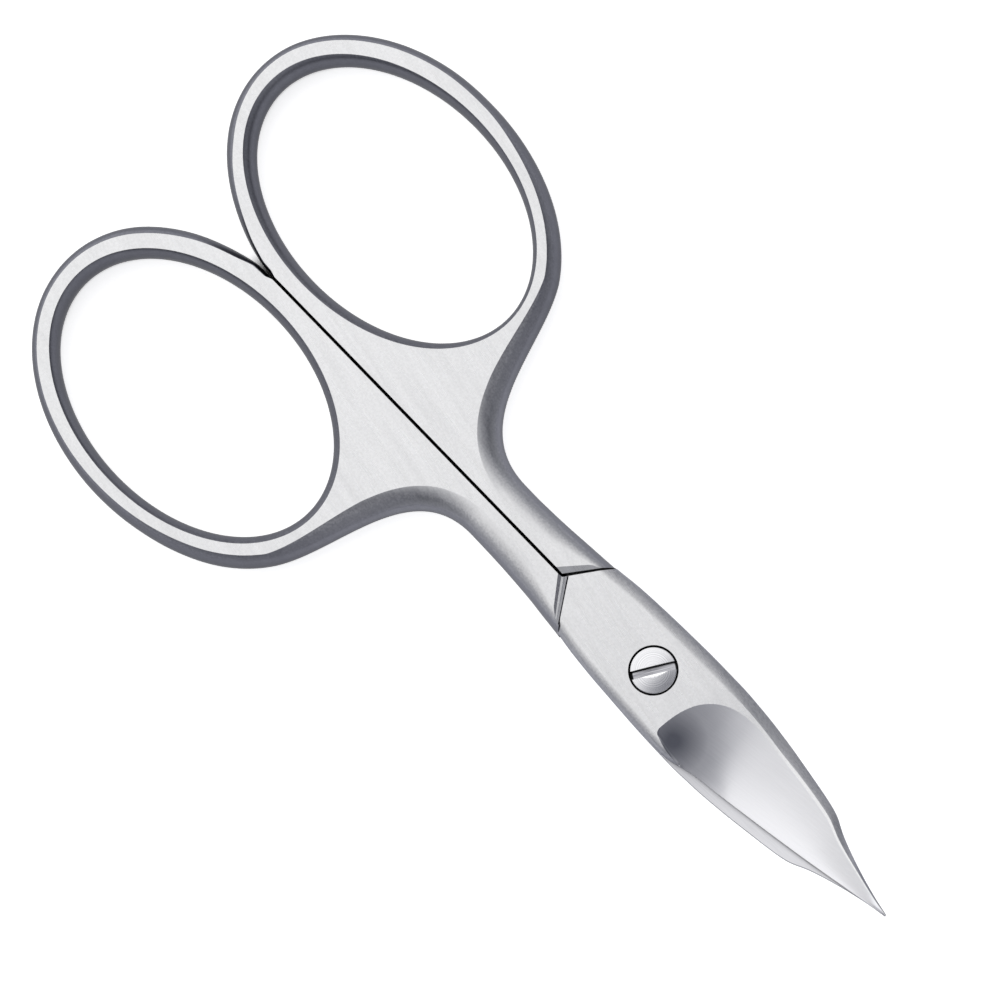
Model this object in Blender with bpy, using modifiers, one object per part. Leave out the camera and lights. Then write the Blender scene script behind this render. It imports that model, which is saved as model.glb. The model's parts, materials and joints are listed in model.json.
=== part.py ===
"""Curved nail scissors: two forged halves that cross at a slotted pivot screw.

The pivot is the local origin in plan, +X runs toward the tips, +Y toward the spine of
the upper half's blade, and +Z from the underside to the screw head. Both halves are the
same forging turned over: a finger ring, a neck, a half-round shank, a joint plate that
is half as thick as the shank, and a hollow-ground blade that curves up toward its tip.
"""

import math

import bmesh
import bpy
from mathutils import Vector

# Lengths are in metres and angles in radians.

# The finger rings: an oval hole with a bar round it, whose round is ground flat on the seam.
# The bars are finished by hand, so each is a little wider on some sides. A bar point is
# (share of a turn, share of the width), from the front round by the side away from the seam.
HOLE_LENGTH = 0.02815
HOLE_WIDTH = 0.0189
BAR_AT_ENDS = 0.002375
BAR_AT_SIDES = 0.00236
RING_FLAT = 0.00021
LOWER_BAR_SHARES = (
    (0.07, 1.05), (0.125, 1.01), (0.19, 0.99), (0.25, 1.015), (0.3, 1.095), (0.36, 1.15),
    (0.45, 1.175), (0.5, 1.145), (0.58, 1.11), (0.66, 1.075), (0.69, 1.08), (0.72, 1.05),
)
UPPER_BAR_SHARES = (
    (0.06, 1.16), (0.1, 1.145), (0.125, 1.125), (0.167, 1.06), (0.21, 1.015), (0.25, 1.012),
    (0.33, 1.01), (0.42, 1.005), (0.47, 1.01), (0.5, 1.035), (0.54, 1.095), (0.59, 1.155),
    (0.64, 1.14), (0.68, 1.105), (0.7, 1.1), (0.72, 1.06),
)

# The seam where the two handles meet when the scissors are shut.
SEAM_GAP = 0.0002
SEAM_OFFSET = 0.000073
SEAM_LEAN = math.radians(0.738)
SEAM_CHAMFER = 0.00004

# The handle in section. The bars are barrel-shaped with a flat ground on both faces. How
# far a wall is rounded in leans with its direction: toward the tips, or to the outside.
HANDLE_THICKNESS = 0.0036
LOWER_OUTER_ROUND = 0.00084
LOWER_OUTER_ROUND_LEAN = 0.00005
LOWER_OUTER_ROUND_ASIDE = 0.00008
LOWER_HOLE_ROUND = 0.00072
LOWER_HOLE_ROUND_LEAN = 0.0001
LOWER_HOLE_ROUND_ASIDE = 0.00013
UPPER_OUTER_ROUND = 0.00083
UPPER_OUTER_ROUND_LEAN = -0.00002
UPPER_OUTER_ROUND_ASIDE = -0.00009
UPPER_HOLE_ROUND = 0.00066
UPPER_HOLE_ROUND_LEAN = -0.0002
BAR_CRISP_SHARE = 0.87
NECK_ROUND = 0.0017
SHANK_ROUND = 0.0021
SHOULDER_ROUND = 0.0009

# The neck runs in one S-curve from the ring, where it leaves at an angle, to the shank.
NECK_START = math.radians(26.0)
NECK_BACK = 0.0205
NECK_LENGTH = 0.009185
NECK_PULL_AT_RING_SHARE = 0.6
NECK_PULL_AT_SHANK_SHARE = 0.83
# Each shank runs from its shoulder to the neck. The upper half's is a little wider.
SHANK_BACK = 0.0192
SHANK_HALF_WIDTH = 0.00306
LOWER_SHANK_SHARES = (
    (0.0, 1.163), (0.11, 1.124), (0.28, 1.068), (0.45, 1.01), (0.62, 0.969), (0.78, 0.945), (0.89, 0.942),
)
UPPER_SHANK_SHARES = (
    (-0.074, 1.24), (0.0, 1.214), (0.11, 1.18), (0.28, 1.12), (0.45, 1.088), (0.62, 1.067), (0.78, 1.062), (0.89, 1.062),
)

# The shoulder: a V where each shank steps down to the joint, with its apex on the seam. The
# upper half's arm of it stands farther forward, with a wider bevel down to its own plate.
LOWER_SHOULDER_APEX_BACK = 0.0112
LOWER_SHOULDER_END_BACK = 0.00865
LOWER_SHOULDER_CHAMFER = 0.00058
LOWER_SHOULDER_CHAMFER_AT_END = 0.00025
UPPER_SHOULDER_APEX_BACK = 0.01039
UPPER_SHOULDER_END_BACK = 0.00778
UPPER_SHOULDER_CHAMFER = 0.00084
UPPER_SHOULDER_CHAMFER_AT_END = 0.00052
SHOULDER_GAP = 0.0002
SHOULDER_OVERLAP = 0.0014

# The joint plates and the blades. An outline point is (share of the reach, share of the width).
JOINT_THICKNESS = 0.0031
RIDE_GAP = 0.0002
BLADE_REACH = 0.0283
JOINT_HALF_WIDTH = 0.00442
SPINE_SHARES = (
    (-0.442, 0.36), (-0.353, 0.566), (-0.329, 0.68), (-0.313, 0.81), (-0.212, 0.889), (-0.106, 0.939),
    (0.0, 0.973), (0.106, 0.995), (0.212, 1.0), (0.318, 0.968), (0.424, 0.9), (0.53, 0.805),
    (0.636, 0.697), (0.677, 0.635), (0.742, 0.452), (0.81, 0.305), (0.88, 0.18), (0.95, 0.078), (1.0, 0.022),
)
EDGE_SHARES = (
    (-0.442, 0.36), (-0.353, 0.566), (-0.329, 0.68), (-0.313, 0.81), (-0.212, 0.889), (-0.106, 0.939),
    (0.0, 0.966), (0.106, 0.982), (0.18, 0.98), (0.222, 0.943), (0.26, 0.871), (0.304, 0.803),
    (0.394, 0.713), (0.483, 0.62), (0.573, 0.525), (0.707, 0.373), (0.798, 0.262), (0.9, 0.131), (1.0, 0.01),
)
THICKNESS_SHARES = ((-0.5, 1.0), (0.15, 1.0), (0.28, 0.97), (0.424, 0.89), (0.565, 0.79), (0.68, 0.7), (0.85, 0.5), (1.0, 0.3))
CUTTING_EDGE = 0.00015

# The shear faces are flat round the pivot and then turn up on one radius.
CURVE_START = 0.009
CURVE_RADIUS = 0.052

# The rounded bands along the spine and along the joint's other side.
SPINE_BAND = 0.00093
SPINE_BAND_DROP = 0.0007
BAND_SHARES = ((-0.5, 1.0), (0.42, 1.0), (0.53, 0.83), (0.67, 0.7), (0.76, 0.48), (0.85, 0.25), (1.0, 0.06))
JOINT_BAND = 0.00075

# The hollow grind starts behind the blade on a rounded crease and leaves a strip by the spine.
GRIND_START = 0.00385
GRIND_FULL = 0.0122
GRIND_STRIP = 0.00028
GRIND_STRIP_SHARES = ((-0.5, 1.0), (0.56, 1.0), (0.7, 0.8), (0.85, 0.45), (1.0, 0.1))
GRIND_CORNER_POWER = 3.1
GRIND_HOLLOW_POWER = 1.4

# The pivot screw, its slot and its clearances.
HEAD_DIAMETER = 0.00393
HEAD_DEPTH = 0.0009
HEAD_DOME = 0.00018
HEAD_CHAMFER = 0.00012
PIN_DIAMETER = 0.0024
SLOT_WIDTH = 0.0007
SLOT_DEPTH = 0.0005
SLOT_TURN = math.radians(60.0)
SCREW_CLEARANCE = 0.00015

# One overrun serves every cut.
OVERRUN = 0.002

# Mesh fineness, in counts.
HOLE_POINTS = 48
RING_POINTS = 34
NECK_POINTS = 12
SHANK_POINTS = 9
SHANK_CLEAR_SHARE = 0.14
SEAM_POINTS = 8
SHOULDER_POINTS = 2
ROUND_POINTS = 40
BLADE_STATIONS = 24
JOINT_STATIONS = 8
HEIGHT_SHARES = (0.0, 0.4, 0.7, 0.861, 0.95, 1.0)

PLATE = (JOINT_THICKNESS - RIDE_GAP) / 2
MIDDLE = HANDLE_THICKNESS / 2
RING_BACK = NECK_BACK + NECK_LENGTH + (HOLE_LENGTH / 2 + BAR_AT_ENDS) * math.cos(NECK_START)
RING_ASIDE = SEAM_GAP / 2 + HOLE_WIDTH / 2 + BAR_AT_SIDES - RING_FLAT

STEEL = (0.78, 0.78, 0.79, 1.0)
SCREW_STEEL = (0.66, 0.66, 0.68, 1.0)


def clear_scene():
    for found in list(bpy.data.objects):
        bpy.data.objects.remove(found, do_unlink=True)


def collection(name):
    made = bpy.data.collections.new(name)
    bpy.context.scene.collection.children.link(made)
    return made


def steel(name, colour, roughness):
    made = bpy.data.materials.new(name)
    made.use_nodes = True
    shader = made.node_tree.nodes["Principled BSDF"]
    shader.inputs["Base Color"].default_value = colour
    shader.inputs["Metallic"].default_value = 1.0
    shader.inputs["Roughness"].default_value = roughness
    return made


def table(rows, share):
    """The value of a table of shares, smooth from row to row."""
    if share <= rows[0][0]:
        return rows[0][1]
    if share >= rows[-1][0]:
        return rows[-1][1]
    last = len(rows) - 1
    at = next(i for i in range(last) if rows[i + 1][0] >= share)
    (x0, y0), (x1, y1) = rows[at], rows[at + 1]
    slope = (y1 - y0) / (x1 - x0)
    before = (y0 - rows[at - 1][1]) / (x0 - rows[at - 1][0]) if at else slope
    after = (rows[at + 2][1] - y1) / (rows[at + 2][0] - x1) if at + 2 <= last else slope
    # Equal signs on both sides give a mean slope, and a turning point gives none.
    start = 2 * before * slope / (before + slope) if before * slope > 0 else 0.0
    end = 2 * slope * after / (slope + after) if slope * after > 0 else 0.0
    t = (share - x0) / (x1 - x0)
    width = x1 - x0
    return (
        y0 * (1 + 2 * t) * (1 - t) ** 2 + y1 * t * t * (3 - 2 * t)
        + width * start * t * (1 - t) ** 2 - width * end * t * t * (1 - t)
    )


def mix(a, b, share):
    return a + (b - a) * share


def from_seam(x, y):
    """A point given along and beside the seam, in the pivot's frame."""
    return Vector((
        x * math.cos(SEAM_LEAN) - y * math.sin(SEAM_LEAN),
        SEAM_OFFSET + x * math.sin(SEAM_LEAN) + y * math.cos(SEAM_LEAN),
    ))


def ring_point(side, angle, grow_x, grow_y):
    """A point on or round a finger hole. Past the seam it is ground back to it."""
    aside = RING_ASIDE + (HOLE_WIDTH / 2 + grow_y) * math.sin(angle)
    return from_seam(
        -RING_BACK + (HOLE_LENGTH / 2 + grow_x) * math.cos(angle), side * max(SEAM_GAP / 2, aside),
    )


def bar_point(side, angle):
    """A point on the outside of a ring's bar. The upper half's ring is on side -1."""
    share = table(LOWER_BAR_SHARES if side > 0 else UPPER_BAR_SHARES, angle / (2 * math.pi))
    return ring_point(side, angle, BAR_AT_ENDS * share, BAR_AT_SIDES * share)


def outer_round(side, forward, aside):
    """The rounding of a ring's outer wall, whose normal points this far forward and outward."""
    if side > 0:
        return LOWER_OUTER_ROUND + LOWER_OUTER_ROUND_LEAN * forward + LOWER_OUTER_ROUND_ASIDE * aside
    return UPPER_OUTER_ROUND + UPPER_OUTER_ROUND_LEAN * forward + UPPER_OUTER_ROUND_ASIDE * aside


def hole_round(side, forward, aside):
    if side > 0:
        return LOWER_HOLE_ROUND + LOWER_HOLE_ROUND_LEAN * forward + LOWER_HOLE_ROUND_ASIDE * aside
    return UPPER_HOLE_ROUND + UPPER_HOLE_ROUND_LEAN * forward


def hole_outline(side):
    """The points round a finger hole, each with the rounding of its wall."""
    points = []
    for i in range(HOLE_POINTS):
        angle = 2 * math.pi * i / HOLE_POINTS
        place = ring_point(side, angle, 0, 0)
        inward = Vector((-HOLE_WIDTH * math.cos(angle), -HOLE_LENGTH * math.sin(angle))).normalized()
        points.append((place, hole_round(side, inward.x, inward.y), BAR_CRISP_SHARE, "round"))
    # The hole runs the other way round from the outer outline.
    return points[::-1] if side > 0 else points


def shank_point(side, back):
    share = (back - LOWER_SHOULDER_END_BACK) / (NECK_BACK - LOWER_SHOULDER_END_BACK)
    widths = LOWER_SHANK_SHARES if side > 0 else UPPER_SHANK_SHARES
    return Vector((-back, side * SHANK_HALF_WIDTH * table(widths, share)))


def shoulder_corner(side):
    return shank_point(side, LOWER_SHOULDER_END_BACK if side > 0 else UPPER_SHOULDER_END_BACK)


def shoulder_apex(side):
    back = LOWER_SHOULDER_APEX_BACK if side > 0 else UPPER_SHOULDER_APEX_BACK
    return from_seam(-back, side * SEAM_GAP / 2)


def shoulder_chamfer(side, share):
    """The shoulder's bevel at a share of the way from its corner to its apex."""
    if side > 0:
        return mix(LOWER_SHOULDER_CHAMFER_AT_END, LOWER_SHOULDER_CHAMFER, share)
    return mix(UPPER_SHOULDER_CHAMFER_AT_END, UPPER_SHOULDER_CHAMFER, share)


def handle_outline(side):
    """The outer points of a handle, counted from the shoulder's apex along the seam to the
    ring, round it, and back by the neck and the shank. Each has the rounding of the edge
    that starts at it."""
    points = []
    half_length = HOLE_LENGTH / 2 + BAR_AT_ENDS
    half_width = HOLE_WIDTH / 2 + BAR_AT_SIDES
    reach = math.asin((RING_ASIDE - SEAM_GAP / 2) / half_width)
    rear_angle = math.pi + reach
    seam_end = -RING_BACK + half_length * math.cos(rear_angle)
    corner, apex = shoulder_corner(side), shoulder_apex(side)
    for i in range(SEAM_POINTS):
        x = mix(apex.x, seam_end, i / SEAM_POINTS)
        points.append((from_seam(x, side * SEAM_GAP / 2), SEAM_CHAMFER, 1.0, "seam"))
    for i in range(RING_POINTS):
        angle = mix(rear_angle, NECK_START, i / RING_POINTS)
        outward = Vector((half_width * math.cos(angle), half_length * math.sin(angle)))
        outward.normalize()
        rounding = outer_round(side, outward.x, outward.y)
        points.append((bar_point(side, angle), rounding, BAR_CRISP_SHARE, "round"))
    start = bar_point(side, NECK_START)
    along = Vector((half_length * math.sin(NECK_START), -side * half_width * math.cos(NECK_START)))
    neck_end = shank_point(side, SHANK_BACK)
    pull_a = start + along.normalized() * NECK_LENGTH * NECK_PULL_AT_RING_SHARE
    pull_b = neck_end - Vector((1, 0)) * NECK_LENGTH * NECK_PULL_AT_SHANK_SHARE
    at_neck = outer_round(side, math.cos(NECK_START), math.sin(NECK_START))
    for i in range(NECK_POINTS):
        t = i / NECK_POINTS
        place = (
            start * (1 - t) ** 3 + pull_a * 3 * t * (1 - t) ** 2
            + pull_b * 3 * t * t * (1 - t) + neck_end * t ** 3
        )
        rounding = mix(at_neck, NECK_ROUND, min(1.0, 2 * t)) if t < 0.5 else mix(NECK_ROUND, SHANK_ROUND, 2 * t - 1)
        points.append((place, rounding, mix(BAR_CRISP_SHARE, 1.0, t), "round"))
    for i in range(SHANK_POINTS):
        # The corner's rounding covers the last stretch of the shank, so no points stand there.
        share = mix(1.0, SHANK_CLEAR_SHARE, i / (SHANK_POINTS - 1))
        place = shank_point(side, mix(-corner.x, SHANK_BACK, share))
        rounding = mix(SHOULDER_ROUND, SHANK_ROUND, min(1.0, 2 * share))
        points.append((place, rounding, 1.0, "round"))
    for i in range(SHOULDER_POINTS):
        t = i / SHOULDER_POINTS
        points.append((corner.lerp(apex, t), shoulder_chamfer(side, t), 1.0, "shoulder"))
    return points if side < 0 else points[::-1]


def inset_at(kind, rounding, crisp, height):
    """How far a wall has moved in at a share of the half height."""
    if kind == "round":
        full = 1 - math.sqrt(max(0.0, 1 - crisp * crisp))
        return rounding * (1 - math.sqrt(max(0.0, 1 - (crisp * height) ** 2))) / full
    start = HEIGHT_SHARES[-3] if kind == "shoulder" else HEIGHT_SHARES[-2]
    return rounding * max(0.0, height - start) / (1 - start)


def inset_loop(points, height, reverse_edges):
    """The outline at a share of the half height, each corner where its two moved edges meet."""
    count = len(points)
    loop = []
    for i in range(count):
        here = points[i][0]
        after = points[(i + 1) % count]
        before = points[i - 1]
        edge_in = (here - before[0]).normalized()
        edge_out = (after[0] - here).normalized()
        # The rounding belongs to the edge that starts at a point, or ends at it when reversed.
        in_from, out_from = (points[i], after) if reverse_edges else (before, points[i])
        inset_in = inset_at(in_from[3], in_from[1], in_from[2], height)
        inset_out = inset_at(out_from[3], out_from[1], out_from[2], height)
        normal_in = Vector((-edge_in.y, edge_in.x))
        normal_out = Vector((-edge_out.y, edge_out.x))
        cross = normal_in.x * normal_out.y - normal_in.y * normal_out.x
        if abs(cross) > 0.35:
            x = (inset_in * normal_out.y - inset_out * normal_in.y) / cross
            y = (normal_in.x * inset_out - normal_out.x * inset_in) / cross
            loop.append(here + Vector((x, y)))
        else:
            normal = (normal_in + normal_out).normalized()
            loop.append(here + normal * (inset_in + inset_out) / 2)
    return loop


def new_object(name, shape, where, material=None):
    mesh = bpy.data.meshes.new(name)
    shape.normal_update()
    shape.to_mesh(mesh)
    shape.free()
    made = bpy.data.objects.new(name, mesh)
    where.objects.link(made)
    if material:
        mesh.materials.append(material)
    else:
        made.hide_render = True
        made.display_type = "WIRE"
    return made


def handle_shape(side):
    """The ring, neck and shank: two outlines stacked over the height, with flat faces."""
    shape = bmesh.new()
    outer, hole = handle_outline(side), hole_outline(side)
    heights = [-h for h in HEIGHT_SHARES[:0:-1]] + list(HEIGHT_SHARES)
    rims = {}
    for name, points, turned in (("outer", outer, side > 0), ("hole", hole, False)):
        rows = []
        for height in heights:
            z = MIDDLE * (1 + height)
            loop = inset_loop(points, abs(height), turned)
            rows.append([shape.verts.new((p.x, p.y, z)) for p in loop])
        for low, high in zip(rows, rows[1:]):
            for i in range(len(low)):
                j = (i + 1) % len(low)
                shape.faces.new((low[i], low[j], high[j], high[i]))
        rims[name] = rows
    for row in (0, -1):
        edges = []
        for rows in rims.values():
            loop = rows[row]
            edges += [shape.edges.get((loop[i - 1], loop[i])) for i in range(len(loop))]
        bmesh.ops.triangle_fill(shape, use_beauty=True, edges=edges)
    bmesh.ops.recalc_face_normals(shape, faces=shape.faces)
    return shape


def loft(sections):
    """A closed body through closed sections of equal count, with flat ends."""
    shape = bmesh.new()
    rows = [[shape.verts.new(p) for p in section] for section in sections]
    for low, high in zip(rows, rows[1:]):
        for i in range(len(low)):
            j = (i + 1) % len(low)
            shape.faces.new((low[i], low[j], high[j], high[i]))
    shape.faces.new(rows[0][::-1])
    shape.faces.new(rows[-1])
    bmesh.ops.recalc_face_normals(shape, faces=shape.faces)
    return shape


def prism(outline, low, high):
    return loft([[Vector((p.x, p.y, z)) for p in outline] for z in (low, high)])


def rise(x, y):
    """How far the shear faces have turned up at a place in front of the pivot."""
    over = max(0.0, math.hypot(x, y) - CURVE_START) if x > 0 else 0.0
    return CURVE_RADIUS - math.sqrt(CURVE_RADIUS ** 2 - over ** 2)


def spine_line(x):
    return JOINT_HALF_WIDTH * table(SPINE_SHARES, x / BLADE_REACH)


def edge_line(x):
    return -JOINT_HALF_WIDTH * table(EDGE_SHARES, x / BLADE_REACH)


def thickness(x):
    return PLATE * table(THICKNESS_SHARES, x / BLADE_REACH)


def spine_band(x):
    return SPINE_BAND * table(BAND_SHARES, x / BLADE_REACH)


def placed(turn, x, y, height):
    """A blade point from its plan and its height over the shear face. The lower half is turned over."""
    return Vector((x, turn * y, MIDDLE + rise(x, y) + turn * (RIDE_GAP / 2 + height)))


def blade_stations():
    rear = -(LOWER_SHOULDER_APEX_BACK + SHOULDER_OVERLAP)
    behind = [mix(rear, 0.0, i / JOINT_STATIONS) for i in range(JOINT_STATIONS)]
    joint = [-LOWER_SHOULDER_END_BACK * share for share in (1.03, 1.0)]
    front = [BLADE_REACH * i / BLADE_STATIONS for i in range(BLADE_STATIONS + 1)]
    return sorted(behind + joint + front)


def blank_shape(turn):
    """The joint plate and blade before grinding, lofted along X."""
    sections = []
    for x in blade_stations():
        left, right, full, band = edge_line(x), spine_line(x), thickness(x), spine_band(x)
        drop = min(SPINE_BAND_DROP, 0.45 * full)
        width = right - left
        band = min(band, 0.35 * width)
        edge_band = min(JOINT_BAND, 0.3 * width)
        section = [(mix(left, right, i / 4), 0.0) for i in range(5)]
        section += [
            (right, full - drop), (right - 0.42 * band, full - 0.36 * drop), (right - band, full),
            (mix(right - band, left + edge_band, 0.5), full), (left + edge_band, full),
            (left + 0.4 * edge_band, full - 0.3 * drop), (left, full - drop),
        ]
        sections.append([placed(turn, x, y, height) for y, height in section])
    return loft(sections)


def grind_shape(turn):
    """The grinding cut: its hollow face meets the blank's face on the crease."""
    start = mix(GRIND_START, GRIND_FULL, -0.07)
    end = BLADE_REACH + OVERRUN
    across = (-0.2, 0.0, 0.15, 0.3, 0.45, 0.6, 0.72, 0.82, 0.9, 0.96, 1.0, 1.05, 1.14)
    sections = []
    for i in range(BLADE_STATIONS + 3):
        x = mix(start, end, i / (BLADE_STATIONS + 2))
        full = thickness(x)
        left = edge_line(x)
        crease = spine_line(x) - spine_band(x) - GRIND_STRIP * table(GRIND_STRIP_SHARES, x / BLADE_REACH)
        crease = max(crease, mix(left, spine_line(x), 0.6))
        behind = max(0.0, (GRIND_FULL - x) / (GRIND_FULL - GRIND_START))
        section = []
        for share in across:
            reach = (behind ** GRIND_CORNER_POWER + max(0.0, share) ** GRIND_CORNER_POWER) ** (1 / GRIND_CORNER_POWER)
            height = CUTTING_EDGE + (full - CUTTING_EDGE) * reach ** GRIND_HOLLOW_POWER
            section.append(placed(turn, x, mix(left, crease, share), height))
        top = turn * (PLATE + OVERRUN) + rise(BLADE_REACH, 0) * (turn > 0) + MIDDLE
        section.append(Vector((x, section[-1].y, top)))
        section.append(Vector((x, section[0].y, top)))
        sections.append(section)
    return loft(sections)


def shoulder_cut_shape(turn):
    """The room that the other half's shank and shoulder need beside this joint plate."""
    corner, apex = shoulder_corner(turn), shoulder_apex(turn)
    arm = (corner - apex).normalized()
    forward = Vector((arm.y, -arm.x)) * turn * SHOULDER_GAP
    own_edge = shoulder_apex(-turn).y - turn * SEAM_CHAMFER
    near = apex + forward
    near = near - arm * ((near.y - own_edge) / arm.y)
    far = corner + forward + arm * OVERRUN
    rear = -(LOWER_SHOULDER_APEX_BACK + SHOULDER_OVERLAP) - OVERRUN
    outline = [near, far, Vector((rear, far.y)), Vector((rear, own_edge))]
    return prism(outline, -OVERRUN, HANDLE_THICKNESS + OVERRUN)


def boolean(target, operation, other):
    cut = target.modifiers.new(other.name, "BOOLEAN")
    cut.operation = operation
    cut.object = other


def bore(name, radius, low, high, where):
    shape = bmesh.new()
    bmesh.ops.create_cone(
        shape, cap_ends=True, segments=ROUND_POINTS, radius1=radius, radius2=radius, depth=high - low,
    )
    bmesh.ops.translate(shape, verts=shape.verts, vec=(0, 0, (low + high) / 2))
    return new_object(name, shape, where)


def smooth(made, angle):
    made.data.shade_smooth()
    made.data.set_sharp_from_angle(angle=angle)


def half(name, turn, where, helpers, material):
    """One scissor half. Its handle lies on the side away from its spine."""
    made = new_object(name, handle_shape(-turn), where, material)
    blank = new_object(name + "_blank", blank_shape(turn), helpers)
    boolean(blank, "DIFFERENCE", new_object(name + "_grind", grind_shape(turn), helpers))
    boolean(blank, "DIFFERENCE", new_object(name + "_shoulder", shoulder_cut_shape(turn), helpers))
    boolean(made, "UNION", blank)
    boolean(made, "DIFFERENCE", bore(
        name + "_bore", PIN_DIAMETER / 2 + SCREW_CLEARANCE, -OVERRUN, HANDLE_THICKNESS + OVERRUN, helpers,
    ))
    smooth(made, math.radians(26))
    return made


def screw_profile():
    top = MIDDLE + JOINT_THICKNESS / 2
    head, pin = HEAD_DIAMETER / 2, PIN_DIAMETER / 2
    under = top - HEAD_DEPTH
    end = MIDDLE - JOINT_THICKNESS / 2
    points = [(0.0, top + HEAD_DOME)]
    for share in (0.35, 0.7):
        points.append((head * share, top + HEAD_DOME * (1 - share * share)))
    points += [
        (head - HEAD_CHAMFER, top), (head, top - HEAD_CHAMFER), (head, under), (pin, under),
        (pin, end + HEAD_CHAMFER), (pin - HEAD_CHAMFER, end), (0.0, end),
    ]
    return points


def pivot_screw(where, helpers, material):
    shape = bmesh.new()
    line = [shape.verts.new((radius, 0, z)) for radius, z in screw_profile()]
    for a, b in zip(line, line[1:]):
        shape.edges.new((a, b))
    made = new_object("pivot_screw", shape, where, material)
    turned = made.modifiers.new("turned", "SCREW")
    turned.steps = ROUND_POINTS
    turned.render_steps = ROUND_POINTS
    turned.use_merge_vertices = True
    turned.merge_threshold = 0.00001
    shape = bmesh.new()
    bmesh.ops.create_cube(shape, size=1.0)
    length = HEAD_DIAMETER + OVERRUN
    depth = SLOT_DEPTH + OVERRUN
    bmesh.ops.scale(shape, verts=shape.verts, vec=(length, SLOT_WIDTH, depth))
    slot = new_object("slot_cut", shape, helpers)
    slot.location.z = MIDDLE + JOINT_THICKNESS / 2 - SLOT_DEPTH + depth / 2
    slot.rotation_euler.z = SLOT_TURN
    boolean(made, "DIFFERENCE", slot)
    smooth(made, math.radians(26))
    return made


def world_bounds(objects):
    graph = bpy.context.evaluated_depsgraph_get()
    places = []
    for found in objects:
        evaluated = found.evaluated_get(graph)
        mesh = evaluated.to_mesh()
        places += [evaluated.matrix_world @ vertex.co for vertex in mesh.vertices]
        evaluated.to_mesh_clear()
    return [(min(p[i] for p in places), max(p[i] for p in places)) for i in range(3)]


def build():
    clear_scene()
    parts = collection("nail_scissors")
    helpers = collection("cutters")
    brushed = steel("brushed_stainless_steel", STEEL, 0.3)
    polished = steel("polished_screw_steel", SCREW_STEEL, 0.2)
    upper = half("upper_half", 1, parts, helpers, brushed)
    lower = half("lower_half", -1, parts, helpers, brushed)
    seat = MIDDLE + JOINT_THICKNESS / 2 - HEAD_DEPTH - SCREW_CLEARANCE
    boolean(upper, "DIFFERENCE", bore(
        "head_seat", HEAD_DIAMETER / 2 + SCREW_CLEARANCE, seat, HANDLE_THICKNESS + OVERRUN, helpers,
    ))
    screw = pivot_screw(parts, helpers, polished)

    # The pivot hangs on an empty that sets the middle of the shut scissors on the origin.
    root = bpy.data.objects.new("pivot", None)
    parts.objects.link(root)
    for found in list(parts.objects) + list(helpers.objects):
        if found != root:
            found.parent = root
    bpy.context.view_layer.update()
    (x0, x1), (y0, y1), (z0, _) = world_bounds((upper, lower, screw))
    root.location = (-(x0 + x1) / 2, -(y0 + y1) / 2, -z0)
    bpy.context.view_layer.update()
    print("pivot at", tuple(round(v, 6) for v in root.location))
    print("bounds", [tuple(round(v, 6) for v in pair) for pair in world_bounds((upper, lower, screw))])


build()
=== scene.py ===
# %% [markdown]
# # Curved nail scissors in ground stainless steel
# Nail scissors are two forgings that cross at a slotted screw. Each half is one bar of
# steel: a finger ring, a neck, a half-round shank, a thin joint plate and a short blade
# that curves up toward its tip. The plain solids are already modelled and packed.
# This lesson rebuilds the three pieces finely over those solids, gives each face the
# finish that its last tool left, and lights them like a catalogue photograph.

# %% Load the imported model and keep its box
import json
import math

import bmesh
import bpy
from mathutils import Matrix, Vector


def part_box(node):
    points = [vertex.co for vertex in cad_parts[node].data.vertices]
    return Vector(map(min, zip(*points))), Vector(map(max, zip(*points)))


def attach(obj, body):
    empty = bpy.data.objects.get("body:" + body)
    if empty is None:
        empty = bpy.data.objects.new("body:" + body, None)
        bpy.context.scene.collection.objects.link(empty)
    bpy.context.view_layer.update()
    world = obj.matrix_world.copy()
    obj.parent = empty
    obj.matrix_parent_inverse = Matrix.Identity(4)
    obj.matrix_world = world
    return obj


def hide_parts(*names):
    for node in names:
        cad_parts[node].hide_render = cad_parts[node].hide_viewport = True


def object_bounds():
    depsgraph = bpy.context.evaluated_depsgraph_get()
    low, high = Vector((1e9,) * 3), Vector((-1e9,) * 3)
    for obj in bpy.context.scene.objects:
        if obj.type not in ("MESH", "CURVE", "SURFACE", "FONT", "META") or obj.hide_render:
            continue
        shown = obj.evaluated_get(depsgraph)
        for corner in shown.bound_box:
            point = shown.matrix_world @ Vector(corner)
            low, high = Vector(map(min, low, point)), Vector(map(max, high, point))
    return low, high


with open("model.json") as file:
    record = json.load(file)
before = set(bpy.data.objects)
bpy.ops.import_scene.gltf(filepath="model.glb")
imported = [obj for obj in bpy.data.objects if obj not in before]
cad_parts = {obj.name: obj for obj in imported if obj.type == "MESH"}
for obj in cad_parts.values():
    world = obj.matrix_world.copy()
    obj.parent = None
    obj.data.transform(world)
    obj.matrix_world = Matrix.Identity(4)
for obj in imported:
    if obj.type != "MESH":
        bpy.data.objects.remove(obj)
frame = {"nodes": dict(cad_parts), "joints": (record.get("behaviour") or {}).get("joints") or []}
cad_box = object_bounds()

hinge = frame["joints"][0]
PIVOT = Vector((hinge["pos_m"][0], hinge["pos_m"][1], 0.0))
print("nodes", sorted(frame["nodes"]), "pivot", tuple(round(v, 6) for v in PIVOT))

# %% [markdown]
# ## The camera
# The photograph looks almost straight down, leaning 12 degrees toward the tips, so the
# walls that face the tips show and the ones that face back hide. The scissors lie on the
# picture's diagonal. A long lens half a metre away keeps the two rings alike in size.
# The camera is written as three axes and a place, which is easier to check than angles.

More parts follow.
